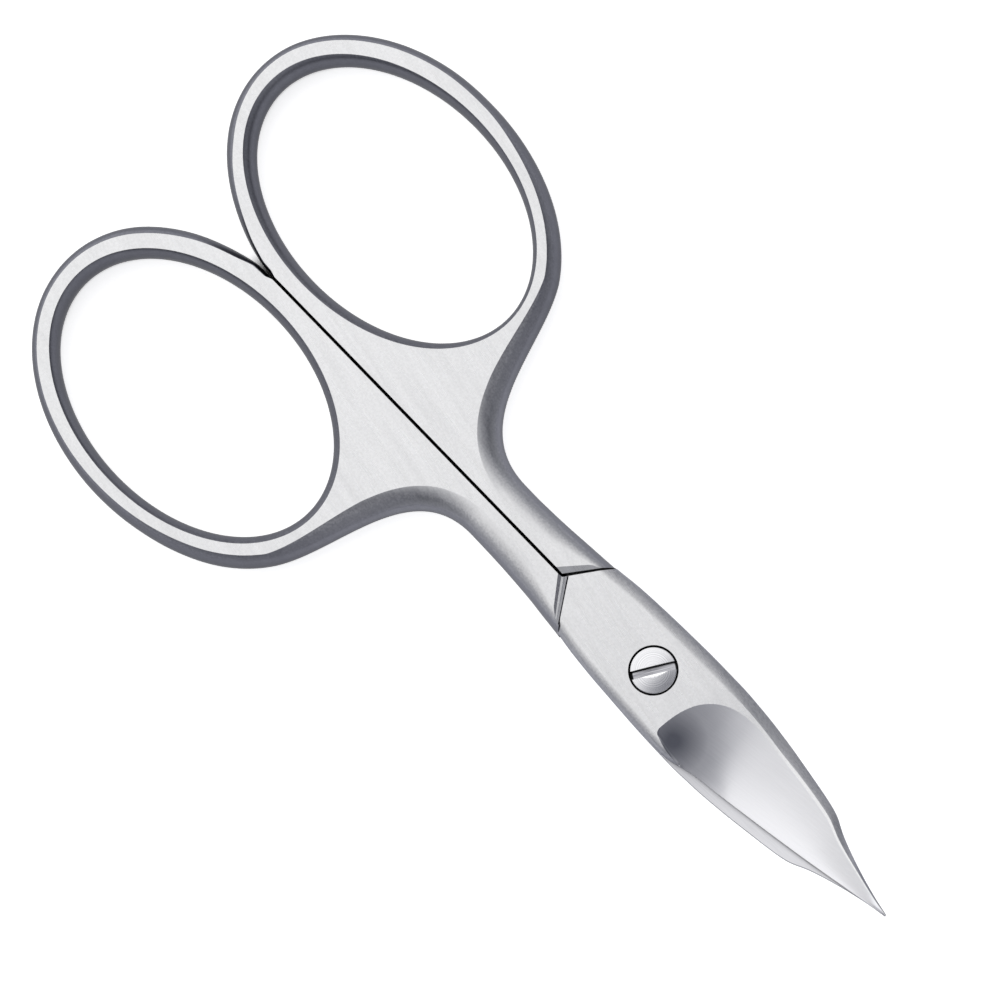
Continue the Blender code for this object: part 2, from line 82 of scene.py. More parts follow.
# %% Place the camera
LEAN = math.radians(12.0)
DIAGONAL = math.radians(46.56)
CAMERA_DISTANCE, SENSOR_WIDTH, LENS, CLIP_START = 0.5, 36.0, 215.28, 0.01
AIM = PIVOT + Vector((-0.019452, 0.000485, 0.0032))

toward_camera = Vector((math.sin(LEAN), 0, math.cos(LEAN)))
along_scissors = Vector((math.cos(LEAN), 0, -math.sin(LEAN)))
across_scissors = Vector((0, 1, 0))
picture_right = math.cos(DIAGONAL) * along_scissors + math.sin(DIAGONAL) * across_scissors
picture_up = math.cos(DIAGONAL) * across_scissors - math.sin(DIAGONAL) * along_scissors

camera = bpy.data.objects.new("camera", bpy.data.cameras.new("camera"))
bpy.context.scene.collection.objects.link(camera)
axes = Matrix((picture_right, picture_up, toward_camera)).transposed().to_4x4()
camera.matrix_world = Matrix.Translation(AIM + toward_camera * CAMERA_DISTANCE) @ axes
camera.data.sensor_fit = "HORIZONTAL"
camera.data.sensor_width, camera.data.lens, camera.data.clip_start = SENSOR_WIDTH, LENS, CLIP_START
bpy.context.scene.camera = camera
print("camera at", tuple(round(v, 4) for v in camera.location), "lens", LENS)

# %% [markdown]
# ## The lengths
# These are the lengths of the solids, in metres, measured from the middle of the pivot.
# +X runs to the tips and +Y to the spine of the upper half's blade. A fine piece has to
# follow the solid it stands for, so it is made from the same lengths and curves, only
# with many more points. A table pairs a share of one length with a share of another.

# %% Lengths of the handles
# The side of the seam that each half's handle lies on.
LOWER, UPPER = 1, -1
HOLE_LENGTH, HOLE_WIDTH = 0.02815, 0.0189
BAR_AT_ENDS, BAR_AT_SIDES = 0.002375, 0.00236
RING_FLAT = 0.00021
BAR_SHARES = {
    LOWER: (
        (0.07, 1.05), (0.125, 1.01), (0.19, 0.99), (0.25, 1.015), (0.3, 1.095), (0.36, 1.15),
        (0.45, 1.175), (0.5, 1.145), (0.58, 1.11), (0.66, 1.075), (0.69, 1.08), (0.72, 1.05),
    ),
    UPPER: (
        (0.06, 1.16), (0.1, 1.145), (0.125, 1.125), (0.167, 1.06), (0.21, 1.015), (0.25, 1.012),
        (0.33, 1.01), (0.42, 1.005), (0.47, 1.01), (0.5, 1.035), (0.54, 1.095), (0.59, 1.155),
        (0.64, 1.14), (0.68, 1.105), (0.7, 1.1), (0.72, 1.06),
    ),
}
SEAM_GAP, SEAM_OFFSET, SEAM_LEAN, SEAM_CHAMFER = 0.0002, 0.000073, math.radians(0.738), 0.00004
HANDLE_THICKNESS = 0.0036
MIDDLE = HANDLE_THICKNESS / 2
# How far a ring's outer wall is rounded in, round the ring: most near the neck, least at the
# fork. A hole's rounding leans a little with the wall's direction: to the tips, and aside.
OUTER_ROUND = 0.00084
OUTER_SHARES = {
    LOWER: (
        (0.072, 1.2), (0.125, 1.17), (0.167, 1.11), (0.208, 1.01), (0.25, 0.83), (0.29, 0.84),
        (0.333, 0.89), (0.375, 0.95), (0.42, 0.98), (0.5, 0.99), (0.542, 1.02), (0.583, 1.02),
        (0.625, 0.85), (0.667, 0.68), (0.7, 0.44), (0.73, 0.22),
    ),
    UPPER: (
        (0.072, 0.98), (0.083, 1.01), (0.125, 1.05), (0.167, 1.01), (0.208, 0.92), (0.25, 0.9),
        (0.29, 0.85), (0.333, 0.84), (0.375, 0.88), (0.42, 0.93), (0.5, 1.03), (0.542, 1.07),
        (0.583, 1.07), (0.625, 0.98), (0.667, 0.8), (0.69, 0.73), (0.706, 0.52), (0.73, 0.34),
    ),
}
HOLE_ROUND = {LOWER: (0.00072, 0.0001, 0.00013), UPPER: (0.00066, -0.0002, 0.0)}
BAR_CRISP_SHARE = 0.87
NECK_ROUND, SHANK_ROUND, SHOULDER_ROUND = 0.0017, 0.0021, 0.0009
NECK_START = math.radians(26.0)
NECK_BACK, NECK_LENGTH = 0.0205, 0.009185
NECK_PULL_SHARES = (0.6, 0.83)
SHANK_BACK, SHANK_HALF_WIDTH = 0.0192, 0.00306
SHANK_SHARES = {
    LOWER: (
        (0.0, 1.163), (0.11, 1.124), (0.28, 1.068), (0.45, 1.01), (0.62, 0.969), (0.78, 0.945),
        (0.89, 0.942),
    ),
    UPPER: (
        (-0.074, 1.24), (0.0, 1.214), (0.11, 1.18), (0.28, 1.12), (0.45, 1.088), (0.62, 1.067),
        (0.78, 1.062), (0.89, 1.062),
    ),
}
RING_BACK = NECK_BACK + NECK_LENGTH + (HOLE_LENGTH / 2 + BAR_AT_ENDS) * math.cos(NECK_START)
RING_ASIDE = SEAM_GAP / 2 + HOLE_WIDTH / 2 + BAR_AT_SIDES - RING_FLAT
# Each arm of the shoulder's V: its apex and its end behind the pivot, and its bevel at both.
SHOULDER_BACK = {LOWER: (0.0112, 0.00865), UPPER: (0.01039, 0.00778)}
SHOULDER_BEVEL = {LOWER: (0.00058, 0.00025), UPPER: (0.00084, 0.00052)}
SHOULDER_GAPS, SHOULDER_OVERLAP, PLATE_OVERLAP = (0.00026, 0.00014), 0.0014, 0.0001
print("ring centre", [round(v * 1000, 2) for v in (RING_BACK, RING_ASIDE)], "mm back and aside")

# %% Lengths of the joint, the blades and the screw
JOINT_THICKNESS, RIDE_GAP = 0.0031, 0.0002
PLATE = (JOINT_THICKNESS - RIDE_GAP) / 2
BLADE_REACH, JOINT_HALF_WIDTH = 0.0283, 0.00442
PLATE_SHARES = ((-0.46, 0.77), (-0.313, 0.81), (-0.212, 0.889), (-0.106, 0.939))
SPINE_SHARES = PLATE_SHARES + (
    (0.0, 0.973), (0.106, 0.995), (0.212, 1.0), (0.318, 0.968), (0.424, 0.9), (0.53, 0.805),
    (0.636, 0.697), (0.677, 0.635), (0.742, 0.452), (0.81, 0.305), (0.88, 0.18), (0.95, 0.078),
    (1.0, 0.022),
)
EDGE_SHARES = PLATE_SHARES + (
    (0.0, 0.966), (0.106, 0.982), (0.18, 0.98), (0.222, 0.943), (0.26, 0.871), (0.304, 0.803),
    (0.394, 0.713), (0.483, 0.62), (0.573, 0.525), (0.707, 0.373), (0.798, 0.262), (0.9, 0.131),
    (1.0, 0.01),
)
THICKNESS_SHARES = (
    (-0.5, 1.0), (0.15, 1.0), (0.28, 0.97), (0.424, 0.89), (0.565, 0.79), (0.68, 0.7),
    (0.85, 0.5), (1.0, 0.3),
)
CUTTING_EDGE = 0.00015
CURVE_START, CURVE_RADIUS = 0.009, 0.052
SPINE_BAND, SPINE_BAND_DROP, JOINT_BAND = 0.00093, 0.0007, 0.00075
BAND_SHARES = (
    (-0.5, 1.0), (0.42, 1.0), (0.53, 0.83), (0.67, 0.7), (0.76, 0.48), (0.85, 0.25), (1.0, 0.06),
)
GRIND_START, GRIND_FULL, GRIND_STRIP = 0.00385, 0.0122, 0.00028
GRIND_STRIP_SHARES = ((-0.5, 1.0), (0.56, 1.0), (0.7, 0.8), (0.85, 0.45), (1.0, 0.1))
GRIND_CORNER_POWER, GRIND_HOLLOW_POWER = 3.1, 1.4
# At its rear the wheel lifts out this far short of the edge, in a lip this long.
GRIND_LEAD, GRIND_LEAD_END, GRIND_LEAD_ROUND, GRIND_LEAD_RUN = 0.001, 0.00724, 0.0004, 0.00022
HEAD_DIAMETER, HEAD_DEPTH, HEAD_DOME, HEAD_CHAMFER = 0.00393, 0.0009, 0.00018, 0.0001
PIN_DIAMETER, SCREW_CLEARANCE = 0.0024, 0.00015
SLOT_WIDTH, SLOT_DEPTH, SLOT_TURN = 0.0007, 0.0006, math.radians(60.0)
# How far a cutter runs on past what it cuts.
OVERRUN = 0.002
print("joint plate", round(PLATE * 1000, 2), "mm thick, blade", BLADE_REACH * 1000, "mm long")

# %% [markdown]
# ## Curves from a few given shares
# A forging's outline is smooth, but only a few widths along it can be measured. A
# spline through them could swing past a point. This table is a cubic whose slope is
# zero at each turning point, so it never leaves the range of its neighbours.

# %% A table read smoothly
def mix(a, b, share):
    return a + (b - a) * share


def ease(low, high, value):
    t = min(1.0, max(0.0, (value - low) / (high - low)))
    return t * t * (3 - 2 * t)


def table(rows, share):
    """The value of a table at a share, smooth from row to row."""
    if share <= rows[0][0]:
        return rows[0][1]
    if share >= rows[-1][0]:
        return rows[-1][1]
    last = len(rows) - 1
    at = next(i for i in range(last) if rows[i + 1][0] >= share)
    (x0, y0), (x1, y1) = rows[at], rows[at + 1]
    slope = (y1 - y0) / (x1 - x0)
    before = (y0 - rows[at - 1][1]) / (x0 - rows[at - 1][0]) if at else slope
    after = (rows[at + 2][1] - y1) / (rows[at + 2][0] - x1) if at + 2 <= last else slope
    start = 2 * before * slope / (before + slope) if before * slope > 0 else 0.0
    end = 2 * slope * after / (slope + after) if slope * after > 0 else 0.0
    t = (share - x0) / (x1 - x0)
    return (
        y0 * (1 + 2 * t) * (1 - t) ** 2 + y1 * t * t * (3 - 2 * t)
        + (x1 - x0) * (start * t * (1 - t) ** 2 - end * t * t * (1 - t))
    )


def from_seam(x, y):
    """A point given along and beside the seam between the two handles."""
    return Vector((
        x * math.cos(SEAM_LEAN) - y * math.sin(SEAM_LEAN),
        SEAM_OFFSET + x * math.sin(SEAM_LEAN) + y * math.cos(SEAM_LEAN),
    ))


print("blade 10 mm from the pivot is", round((
    table(SPINE_SHARES, 0.01 / BLADE_REACH) + table(EDGE_SHARES, 0.01 / BLADE_REACH)
) * JOINT_HALF_WIDTH * 1000, 2), "mm wide")

# %% [markdown]
# ## The handles
# A handle starts as one flat outline: along the seam, round the ring, and back by the
# neck and the shank. The finger hole is a second outline. Each point also carries how
# far the wall there is rounded: little on the ring, whose flats end in a crisp line, and
# much on the shank, which the polisher rolls over until no line is left.
# A flat curve with a bevel would round every edge alike, so the outlines are drawn here
# point by point and stacked over the height, each level moved in by its own amount.

# %% Outlines of a ring, a neck and a shank
HOLE_POINTS, RING_POINTS, NECK_POINTS, SHANK_POINTS, SEAM_POINTS = 240, 170, 56, 36, 10
SHANK_CLEAR_SHARE = 0.1
# The ring's rounding fades into the seam over the fork's length, and the upper half's
# bevel ends a narrow ledge in front of the gap.
FORK_POINTS, FORK_LENGTH, LEDGE = 12, 0.0009, 0.00002


def ring_point(side, angle, grow_x, grow_y):
    """A point on or round a finger hole. Past the seam it is ground back to it."""
    aside = RING_ASIDE + (HOLE_WIDTH / 2 + grow_y) * math.sin(angle)
    return from_seam(
        -RING_BACK + (HOLE_LENGTH / 2 + grow_x) * math.cos(angle), side * max(SEAM_GAP / 2, aside),
    )


def bar_point(side, angle):
    """A point on the outside of a ring's bar."""
    share = table(BAR_SHARES[side], angle / (2 * math.pi))
    return ring_point(side, angle, BAR_AT_ENDS * share, BAR_AT_SIDES * share)


def outer_round(side, angle):
    """The rounding of a ring's outer wall, as a length."""
    return OUTER_ROUND * table(OUTER_SHARES[side], angle / (2 * math.pi))


def hole_outline(side):
    points = []
    rounding, lean, lean_aside = HOLE_ROUND[side]
    for i in range(HOLE_POINTS):
        angle = 2 * math.pi * i / HOLE_POINTS
        inward = Vector((-HOLE_WIDTH * math.cos(angle), -HOLE_LENGTH * math.sin(angle)))
        inward.normalize()
        leaning = rounding + (lean * inward.x + lean_aside * inward.y)
        points.append((ring_point(side, angle, 0, 0), leaning, BAR_CRISP_SHARE, "round"))
    return points[::-1] if side == LOWER else points


def shank_point(side, back):
    front = SHOULDER_BACK[LOWER][1]
    width = SHANK_HALF_WIDTH * table(SHANK_SHARES[side], (back - front) / (NECK_BACK - front))
    return Vector((-back, side * width))


def shoulder_arm(side):
    """The ends of one arm of the V: its apex on the seam and its corner on the shank's side."""
    apex, end = SHOULDER_BACK[side]
    return from_seam(-apex, side * SEAM_GAP / 2), shank_point(side, end)


def room_front(turn):
    """The front of the room for the other half's shank: a start at the seam, and a direction."""
    apex, corner = shoulder_arm(turn)
    arm = (corner - apex).normalized()
    forward = Vector((arm.y, -arm.x)) * turn
    near, far = apex + forward * SHOULDER_GAPS[0], corner + forward * SHOULDER_GAPS[1]
    line = (far - near).normalized()
    own_edge = shoulder_arm(-turn)[0].y - turn * SEAM_CHAMFER
    return near - line * ((near.y - own_edge) / line.y), line


def own_reach(apex, corner, start, line):
    """Where the shoulder's own arm, drawn on past its apex, meets the room's front line."""
    arm, apart = (apex - corner).normalized(), start - apex
    return apex + arm * ((apart.x * line.y - apart.y * line.x) / (arm.x * line.y - arm.y * line.x))


def handle_outline(side):
    """The outer points: place, rounding, how crisp its flat ends, and the kind of wall."""
    points = []
    apex, corner = shoulder_arm(side)
    half_length, half_width = HOLE_LENGTH / 2 + BAR_AT_ENDS, HOLE_WIDTH / 2 + BAR_AT_SIDES
    rear_angle = math.pi + math.asin((RING_ASIDE - SEAM_GAP / 2) / half_width)
    seam_end = -RING_BACK + half_length * math.cos(rear_angle)
    fork = seam_end + FORK_LENGTH
    if side == UPPER:
        # The upper half's bevel runs on past the seam, over its own plate, to the gap's edge.
        start, line = room_front(-side)
        start = start + Vector((line.y, -line.x)) * LEDGE + line * (SEAM_CHAMFER / line.y)
        points.append((own_reach(apex, corner, start, line), 0.0, 1.0, "shoulder"))
        apex = start
    for i in range(SEAM_POINTS):
        x = mix(apex.x, fork, i / SEAM_POINTS)
        points.append((from_seam(x, side * SEAM_GAP / 2), SEAM_CHAMFER, 1.0, "seam"))
    for i in range(FORK_POINTS):
        rounding = mix(SEAM_CHAMFER, outer_round(side, rear_angle), ease(0, FORK_POINTS, i))
        x = mix(fork, seam_end, i / FORK_POINTS)
        points.append((from_seam(x, side * SEAM_GAP / 2), rounding, 1.0, "round"))
    for i in range(RING_POINTS):
        angle = mix(rear_angle, NECK_START, i / RING_POINTS)
        place = bar_point(side, angle)
        apart = ease(0, FORK_LENGTH / 2, abs(place.y - from_seam(place.x, 0).y) - SEAM_GAP / 2)
        points.append((place, outer_round(side, angle), mix(1.0, BAR_CRISP_SHARE, apart), "round"))
    start = bar_point(side, NECK_START)
    along = Vector((half_length * math.sin(NECK_START), -side * half_width * math.cos(NECK_START)))
    end = shank_point(side, SHANK_BACK)
    pull_a = start + along.normalized() * NECK_LENGTH * NECK_PULL_SHARES[0]
    pull_b = end - Vector((1, 0)) * NECK_LENGTH * NECK_PULL_SHARES[1]
    at_neck = outer_round(side, NECK_START)
    for i in range(NECK_POINTS):
        t = i / NECK_POINTS
        place = (
            start * (1 - t) ** 3 + pull_a * 3 * t * (1 - t) ** 2
            + pull_b * 3 * t * t * (1 - t) + end * t ** 3
        )
        rounding = mix(at_neck, NECK_ROUND, min(1.0, 2 * t))
        rounding += (SHANK_ROUND - NECK_ROUND) * max(0.0, 2 * t - 1)
        points.append((place, rounding, mix(BAR_CRISP_SHARE, 1.0, t), "round"))
    for i in range(SHANK_POINTS):
        # The corner's rounding covers the last stretch of the shank, so no points stand there.
        share = mix(1.0, SHANK_CLEAR_SHARE, i / (SHANK_POINTS - 1))
        place = shank_point(side, mix(-corner.x, SHANK_BACK, share))
        rounding = mix(SHOULDER_ROUND, SHANK_ROUND, min(1.0, 2 * share))
        points.append((place, rounding, 1.0, "round"))
    points.append((corner, 0.0, 1.0, "shoulder"))
    return points[::-1] if side == LOWER else points


print("outline points", len(handle_outline(LOWER)), "hole points", len(hole_outline(LOWER)))

# %% [markdown]
# ## Walls that roll into the flats
# The bar's wall is part of an ellipse. Its levels are spaced by angle, so that no two
# neighbouring faces turn by more than a few degrees and the shading stays smooth.
# A narrow loop inside each rim lies level with the flat. Smooth shading averages the
# faces round a point, and this loop keeps that average off the wide flat face.

# %% Move an outline in, level by level
WALL_LEVELS = 15
LEVELS = [math.sin(math.pi / 2 * i / WALL_LEVELS) for i in range(WALL_LEVELS + 1)]
SEAM_CHAMFER_LEVEL = LEVELS[WALL_LEVELS - 3]
RIM_LOOP = 0.00004
# The sine of the turn from which two walls meet in a corner of their own.
CORNER_TURN = 0.35


def inset_at(kind, rounding, crisp, level):
    """How far a wall has moved in at a share of the half height."""
    if kind == "round":
        full = 1 - math.sqrt(max(0.0, 1 - crisp * crisp))
        return rounding * (1 - math.sqrt(max(0.0, 1 - (crisp * level) ** 2))) / full
    return rounding * max(0.0, level - SEAM_CHAMFER_LEVEL) / (1 - SEAM_CHAMFER_LEVEL)


def inset_loop(points, level, reverse_edges, more=0.0):
    """The outline at a level, each corner where its two moved edges meet."""
    loop = []
    for i, here in enumerate(points):
        before, after = points[i - 1], points[(i + 1) % len(points)]
        edge_in = (here[0] - before[0]).normalized()
        edge_out = (after[0] - here[0]).normalized()
        owner_in, owner_out = (here, after) if reverse_edges else (before, here)
        inset_in = more + inset_at(owner_in[3], owner_in[1], owner_in[2], level)
        inset_out = more + inset_at(owner_out[3], owner_out[1], owner_out[2], level)
        normal_in, normal_out = Vector((-edge_in.y, edge_in.x)), Vector((-edge_out.y, edge_out.x))
        cross = normal_in.x * normal_out.y - normal_in.y * normal_out.x
        if abs(cross) > CORNER_TURN:
            x = (inset_in * normal_out.y - inset_out * normal_in.y) / cross
            y = (normal_in.x * inset_out - normal_out.x * inset_in) / cross
            loop.append(here[0] + Vector((x, y)))
        else:
            normal = (normal_in + normal_out).normalized()
            loop.append(here[0] + normal * (more + inset_at(here[3], here[1], here[2], level)))
    return loop


# The finish of a face, as its place among the materials. GAP is a painted shade for narrow gaps.
FLAT, WALL, HOLLOW, GAP, SHEAR = range(5)


def handle_shape(side):
    """A ring, neck and shank as one closed mesh. Faces know whether they are flat or wall."""
    shape = bmesh.new()
    rims = []
    levels = [(-level, 0.0) for level in LEVELS[:0:-1]] + [(level, 0.0) for level in LEVELS]
    levels = [(-1.0, RIM_LOOP)] + levels + [(1.0, RIM_LOOP)]
    for points, turned in ((handle_outline(side), side == LOWER), (hole_outline(side), False)):
        rows = []
        for level, more in levels:
            loop = inset_loop(points, abs(level), turned, more)
            rows.append([shape.verts.new((p.x, p.y, MIDDLE * (1 + level))) for p in loop])
        for at, (low, high) in enumerate(zip(rows, rows[1:])):
            for i in range(len(low)):
                j = (i + 1) % len(low)
                face = shape.faces.new((low[i], low[j], high[j], high[i]))
                # The seam's walls take the near-black gap finish, a painted shade, up to their
                # narrow chamfers.
                in_gap = {points[i][3], points[j][3]} <= {"seam", "shoulder"}
                face.material_index = GAP if in_gap else WALL
                if at == 0 or at == len(rows) - 2:
                    face.material_index = FLAT
        rims.append(rows)
    for row in (0, -1):
        edges = [
            shape.edges.get((rows[row][i - 1], rows[row][i]))
            for rows in rims for i in range(len(rows[row]))
        ]
        bmesh.ops.triangle_fill(shape, use_beauty=True, edges=edges)
    bmesh.ops.recalc_face_normals(shape, faces=shape.faces)
    return shape


test = handle_shape(UPPER)
print("a handle has", len(test.faces), "faces")
test.free()

# %% [markdown]
# ## The joint plate and the blade
# Behind the pivot this is a plain plate with rounded long edges. The lower plate is ground
# flush there with the spine that lies on it. In front of the pivot a wheel has hollowed
# the outer face down to the cutting edge, and the border of that hollow is the sharpest
# line on the whole tool. A Boolean would cut it well enough for a solid, but its stray
# slivers catch the light. So the blade is lofted from cross sections whose points follow
# the border: one column of points lies on the crease from its rear corner to the tip,
# and the hollow and the flat strip each have their own.

# %% Outline, thickness and curve of a blade
def rise(x, y):
    """How far the shear faces have turned up at a place in front of the pivot."""
    over = max(0.0, math.hypot(x, y) - CURVE_START) if x > 0 else 0.0
    return CURVE_RADIUS - math.sqrt(CURVE_RADIUS ** 2 - over ** 2)


def spine_line(x):
    return JOINT_HALF_WIDTH * table(SPINE_SHARES, x / BLADE_REACH)


def edge_line(x):
    return -JOINT_HALF_WIDTH * table(EDGE_SHARES, x / BLADE_REACH)


def thickness(x):
    return PLATE * table(THICKNESS_SHARES, x / BLADE_REACH)


def placed(turn, x, y, height):
    """A point from its plan and its height over the shear face. The lower half is turned over."""
    return Vector((x, turn * y, MIDDLE + rise(x, y) + turn * (RIDE_GAP / 2 + height)))


print("tips rise", round(rise(BLADE_REACH, 0) * 1000, 2), "mm")

# %% Cross section of the plate and blade
RIDE_COLUMNS, SIDE_COLUMNS, BAND_COLUMNS, STRIP_COLUMNS, HOLLOW_COLUMNS = 8, 3, 12, 6, 30
SPINE_BAND_POWERS, SPINE_BAND_CRISPS_FROM, SPINE_BAND_CRISP_AT = (1.9, 1.12), 0.001, 0.009
JOINT_BAND_POWER, SHEAR_EASE, BANDS_AT_JOINT_SHARE = 2.1, 0.00006, 1.4
# Near the tip, shares of the thickness and of the width keep the bands apart.
MOST_DROP, MOST_BAND, MOST_EDGE_BAND, LEAST_CREASE = 0.45, 0.35, 0.3, 0.6
HALVINGS, HOLLOW_CROWDING = 40, 1.5


def section(x, turn):
    """(across, height) of each column at x, from the shear face's left round to it again."""
    left, right, full = edge_line(x), spine_line(x), thickness(x)
    if turn < 0 and x < 0:
        # Behind the pivot the lower plate is ground flush with the spine that lies on it.
        left = max(left, -right)
    width = right - left
    drop = min(SPINE_BAND_DROP, MOST_DROP * full)
    crisp = ease(SPINE_BAND_CRISPS_FROM, SPINE_BAND_CRISP_AT, x)
    wide = mix(BANDS_AT_JOINT_SHARE, 1.0, crisp)
    band_here = SPINE_BAND * table(BAND_SHARES, x / BLADE_REACH)
    band = min(band_here * wide, MOST_BAND * width)
    edge_band = min(JOINT_BAND * wide, MOST_EDGE_BAND * width)
    power = mix(*SPINE_BAND_POWERS, crisp)
    strip = GRIND_STRIP * table(GRIND_STRIP_SHARES, x / BLADE_REACH)
    crease = max(right - band_here - strip, mix(left, right, LEAST_CREASE))
    behind = max(0.0, (GRIND_FULL - x) / (GRIND_FULL - GRIND_START))

    def blank(y):
        if y > right - band:
            return full - drop * ((y - right + band) / band) ** power
        return full - drop * max(0.0, (left + edge_band - y) / edge_band) ** JOINT_BAND_POWER

    def ground(y):
        share = max(0.0, (y - left) / (crease - left))
        reach = behind ** GRIND_CORNER_POWER + share ** GRIND_CORNER_POWER
        reach = reach ** (1 / GRIND_CORNER_POWER)
        return CUTTING_EDGE + (full - CUTTING_EDGE) * reach ** GRIND_HOLLOW_POWER

    # The inner border of the hollow, and the outer one, where it runs down the edge band.
    # There the wheel lifts out early and leaves a short steep lip.
    share = max(0.0, 1 - behind ** GRIND_CORNER_POWER) ** (1 / GRIND_CORNER_POWER)
    inner = max(min(mix(left, crease, share), right - band), left + edge_band)
    ahead = max(0.0, x - GRIND_START)
    lead = GRIND_LEAD * max(0.0, 1 - ahead / (GRIND_LEAD_END - GRIND_START))
    lead += GRIND_LEAD_ROUND * max(0.0, 1 - ahead / GRIND_LEAD_ROUND) ** 3
    outer = left
    if inner <= left + lead:
        outer = inner
    elif blank(left) < ground(left):
        low, high = left, inner
        for _ in range(HALVINGS):
            outer = (low + high) / 2
            low, high = (outer, high) if blank(outer) < ground(outer) else (low, outer)
        outer = max(outer, left + lead)

    def top_height(y):
        if y <= outer:
            return blank(y)
        lip = max(0.0, 1 - (y - outer) / GRIND_LEAD_RUN) ** 2 if lead > 0 else 0.0
        return mix(min(blank(y), ground(y)), blank(y), lip)

    top = [right - band * i / BAND_COLUMNS for i in range(1, BAND_COLUMNS + 1)]
    top += [mix(right - band, inner, i / STRIP_COLUMNS) for i in range(1, STRIP_COLUMNS + 1)]
    for i in range(1, HOLLOW_COLUMNS + 1):
        top.append(mix(outer, inner, (1 - i / HOLLOW_COLUMNS) ** HOLLOW_CROWDING))
    top += [mix(outer, left, i / BAND_COLUMNS) for i in range(1, BAND_COLUMNS + 1)]
    eased, flank = right - SHEAR_EASE, full - drop
    points = [(mix(left, eased, i / RIDE_COLUMNS), 0.0) for i in range(RIDE_COLUMNS + 1)]
    points += [(right, mix(SHEAR_EASE, flank, i / SIDE_COLUMNS)) for i in range(SIDE_COLUMNS + 1)]
    points += [(y, top_height(y)) for y in top]
    points += [(left, points[-1][1] * (1 - i / SIDE_COLUMNS)) for i in range(1, SIDE_COLUMNS)]
    return points


print("columns in a section", len(section(0.01, 1)))

# %% Loft a blade through its stations
CREASE_STATIONS, JOINT_STEP, BLADE_STEP, MERGED = 40, 0.0008, 0.0003, 0.0000002
CREASE_FIRST, SHOULDER_STATIONS = 0.012, (1.04, 1.02, 1.0, 0.98)


def blade_stations():
    """Places along the blade, crowded where the crease turns its rear corner."""
    apex, corner = SHOULDER_BACK[LOWER]
    rear = -(apex + SHOULDER_OVERLAP)
    joint = int((GRIND_START - rear) / JOINT_STEP)
    places = [mix(rear, GRIND_START, i / joint) for i in range(joint)]
    for i in range(CREASE_STATIONS):
        turn = math.pi / 2 * (CREASE_FIRST + (1 - CREASE_FIRST) * i / CREASE_STATIONS)
        behind = math.cos(turn) ** (2 / GRIND_CORNER_POWER)
        places.append(GRIND_FULL - (GRIND_FULL - GRIND_START) * behind)
    blade = int((BLADE_REACH - GRIND_START) / BLADE_STEP)
    places += [mix(GRIND_START, BLADE_REACH, i / blade) for i in range(2, blade + 1)]
    places += [-corner * share for share in SHOULDER_STATIONS]
    return sorted(places)


def blade_shape(turn):
    """The plate and blade as one closed mesh, its hollow marked for the grinder's finish."""
    shape = bmesh.new()
    stations = blade_stations()
    rows = [
        [shape.verts.new(placed(turn, x, y, height)) for y, height in section(x, turn)]
        for x in stations
    ]
    first_hollow = RIDE_COLUMNS + 1 + SIDE_COLUMNS + BAND_COLUMNS + STRIP_COLUMNS
    for x, low, high in zip(stations, rows, rows[1:]):
        for i in range(len(low)):
            j = (i + 1) % len(low)
            face = shape.faces.new((low[i], low[j], high[j], high[i]))
            if x > GRIND_START and first_hollow <= i < first_hollow + HOLLOW_COLUMNS:
                face.material_index = HOLLOW
            else:
                face.material_index = SHEAR if i < RIDE_COLUMNS else FLAT
    shape.faces.new(rows[0][::-1])
    shape.faces.new(rows[-1])
    bmesh.ops.remove_doubles(shape, verts=shape.verts, dist=MERGED)
    bmesh.ops.recalc_face_normals(shape, faces=shape.faces)
    return shape


print("blade stations", len(blade_stations()))

# %% [markdown]
# ## Joining, clearing and boring each half
# The blade grows out of the handle, so the two meshes become one with a Boolean union.
# The plate is first cleared where the other half's shoulder lies, and then bored for
# the screw. A milling cutter bevels each shoulder: smoothly on the lower half, and in
# passes on the upper half, where the cut also runs on past the seam. The walls of gap and
# bore get a near-black finish of their own, a painted shade for these narrow places,
# which is why the ring round a screw head looks black. The same painted shade lies at a
# bevel's foot.

# %% Helpers for meshes and Booleans
BORE_POINTS = 96


def new_object(name, shape, materials=()):
    mesh = bpy.data.meshes.new(name)
    shape.normal_update()
    shape.to_mesh(mesh)
    shape.free()
    for material in materials:
        mesh.materials.append(material)
    made = bpy.data.objects.new(name, mesh)
    bpy.context.scene.collection.objects.link(made)
    return made


def boolean(target, operation, other):
    cut = target.modifiers.new(other.name, "BOOLEAN")
    cut.operation = operation
    cut.solver = "EXACT"
    cut.object = other


def applied(made, helpers):
    """Bakes an object's modifiers into its mesh and removes the helpers they used."""
    graph = bpy.context.evaluated_depsgraph_get()
    mesh = bpy.data.meshes.new_from_object(made.evaluated_get(graph))
    made.modifiers.clear()
    made.data = mesh
    for helper in helpers:
        bpy.data.objects.remove(helper, do_unlink=True)
    return made


def bore(radius, low, high, slots):
    shape = bmesh.new()
    bmesh.ops.create_cone(
        shape, cap_ends=True, segments=BORE_POINTS,
        radius1=radius, radius2=radius, depth=high - low,
    )
    bmesh.ops.translate(shape, verts=shape.verts, vec=(0, 0, (low + high) / 2))
    for face in shape.faces:
        face.material_index = GAP
    return new_object("bore", shape, slots)


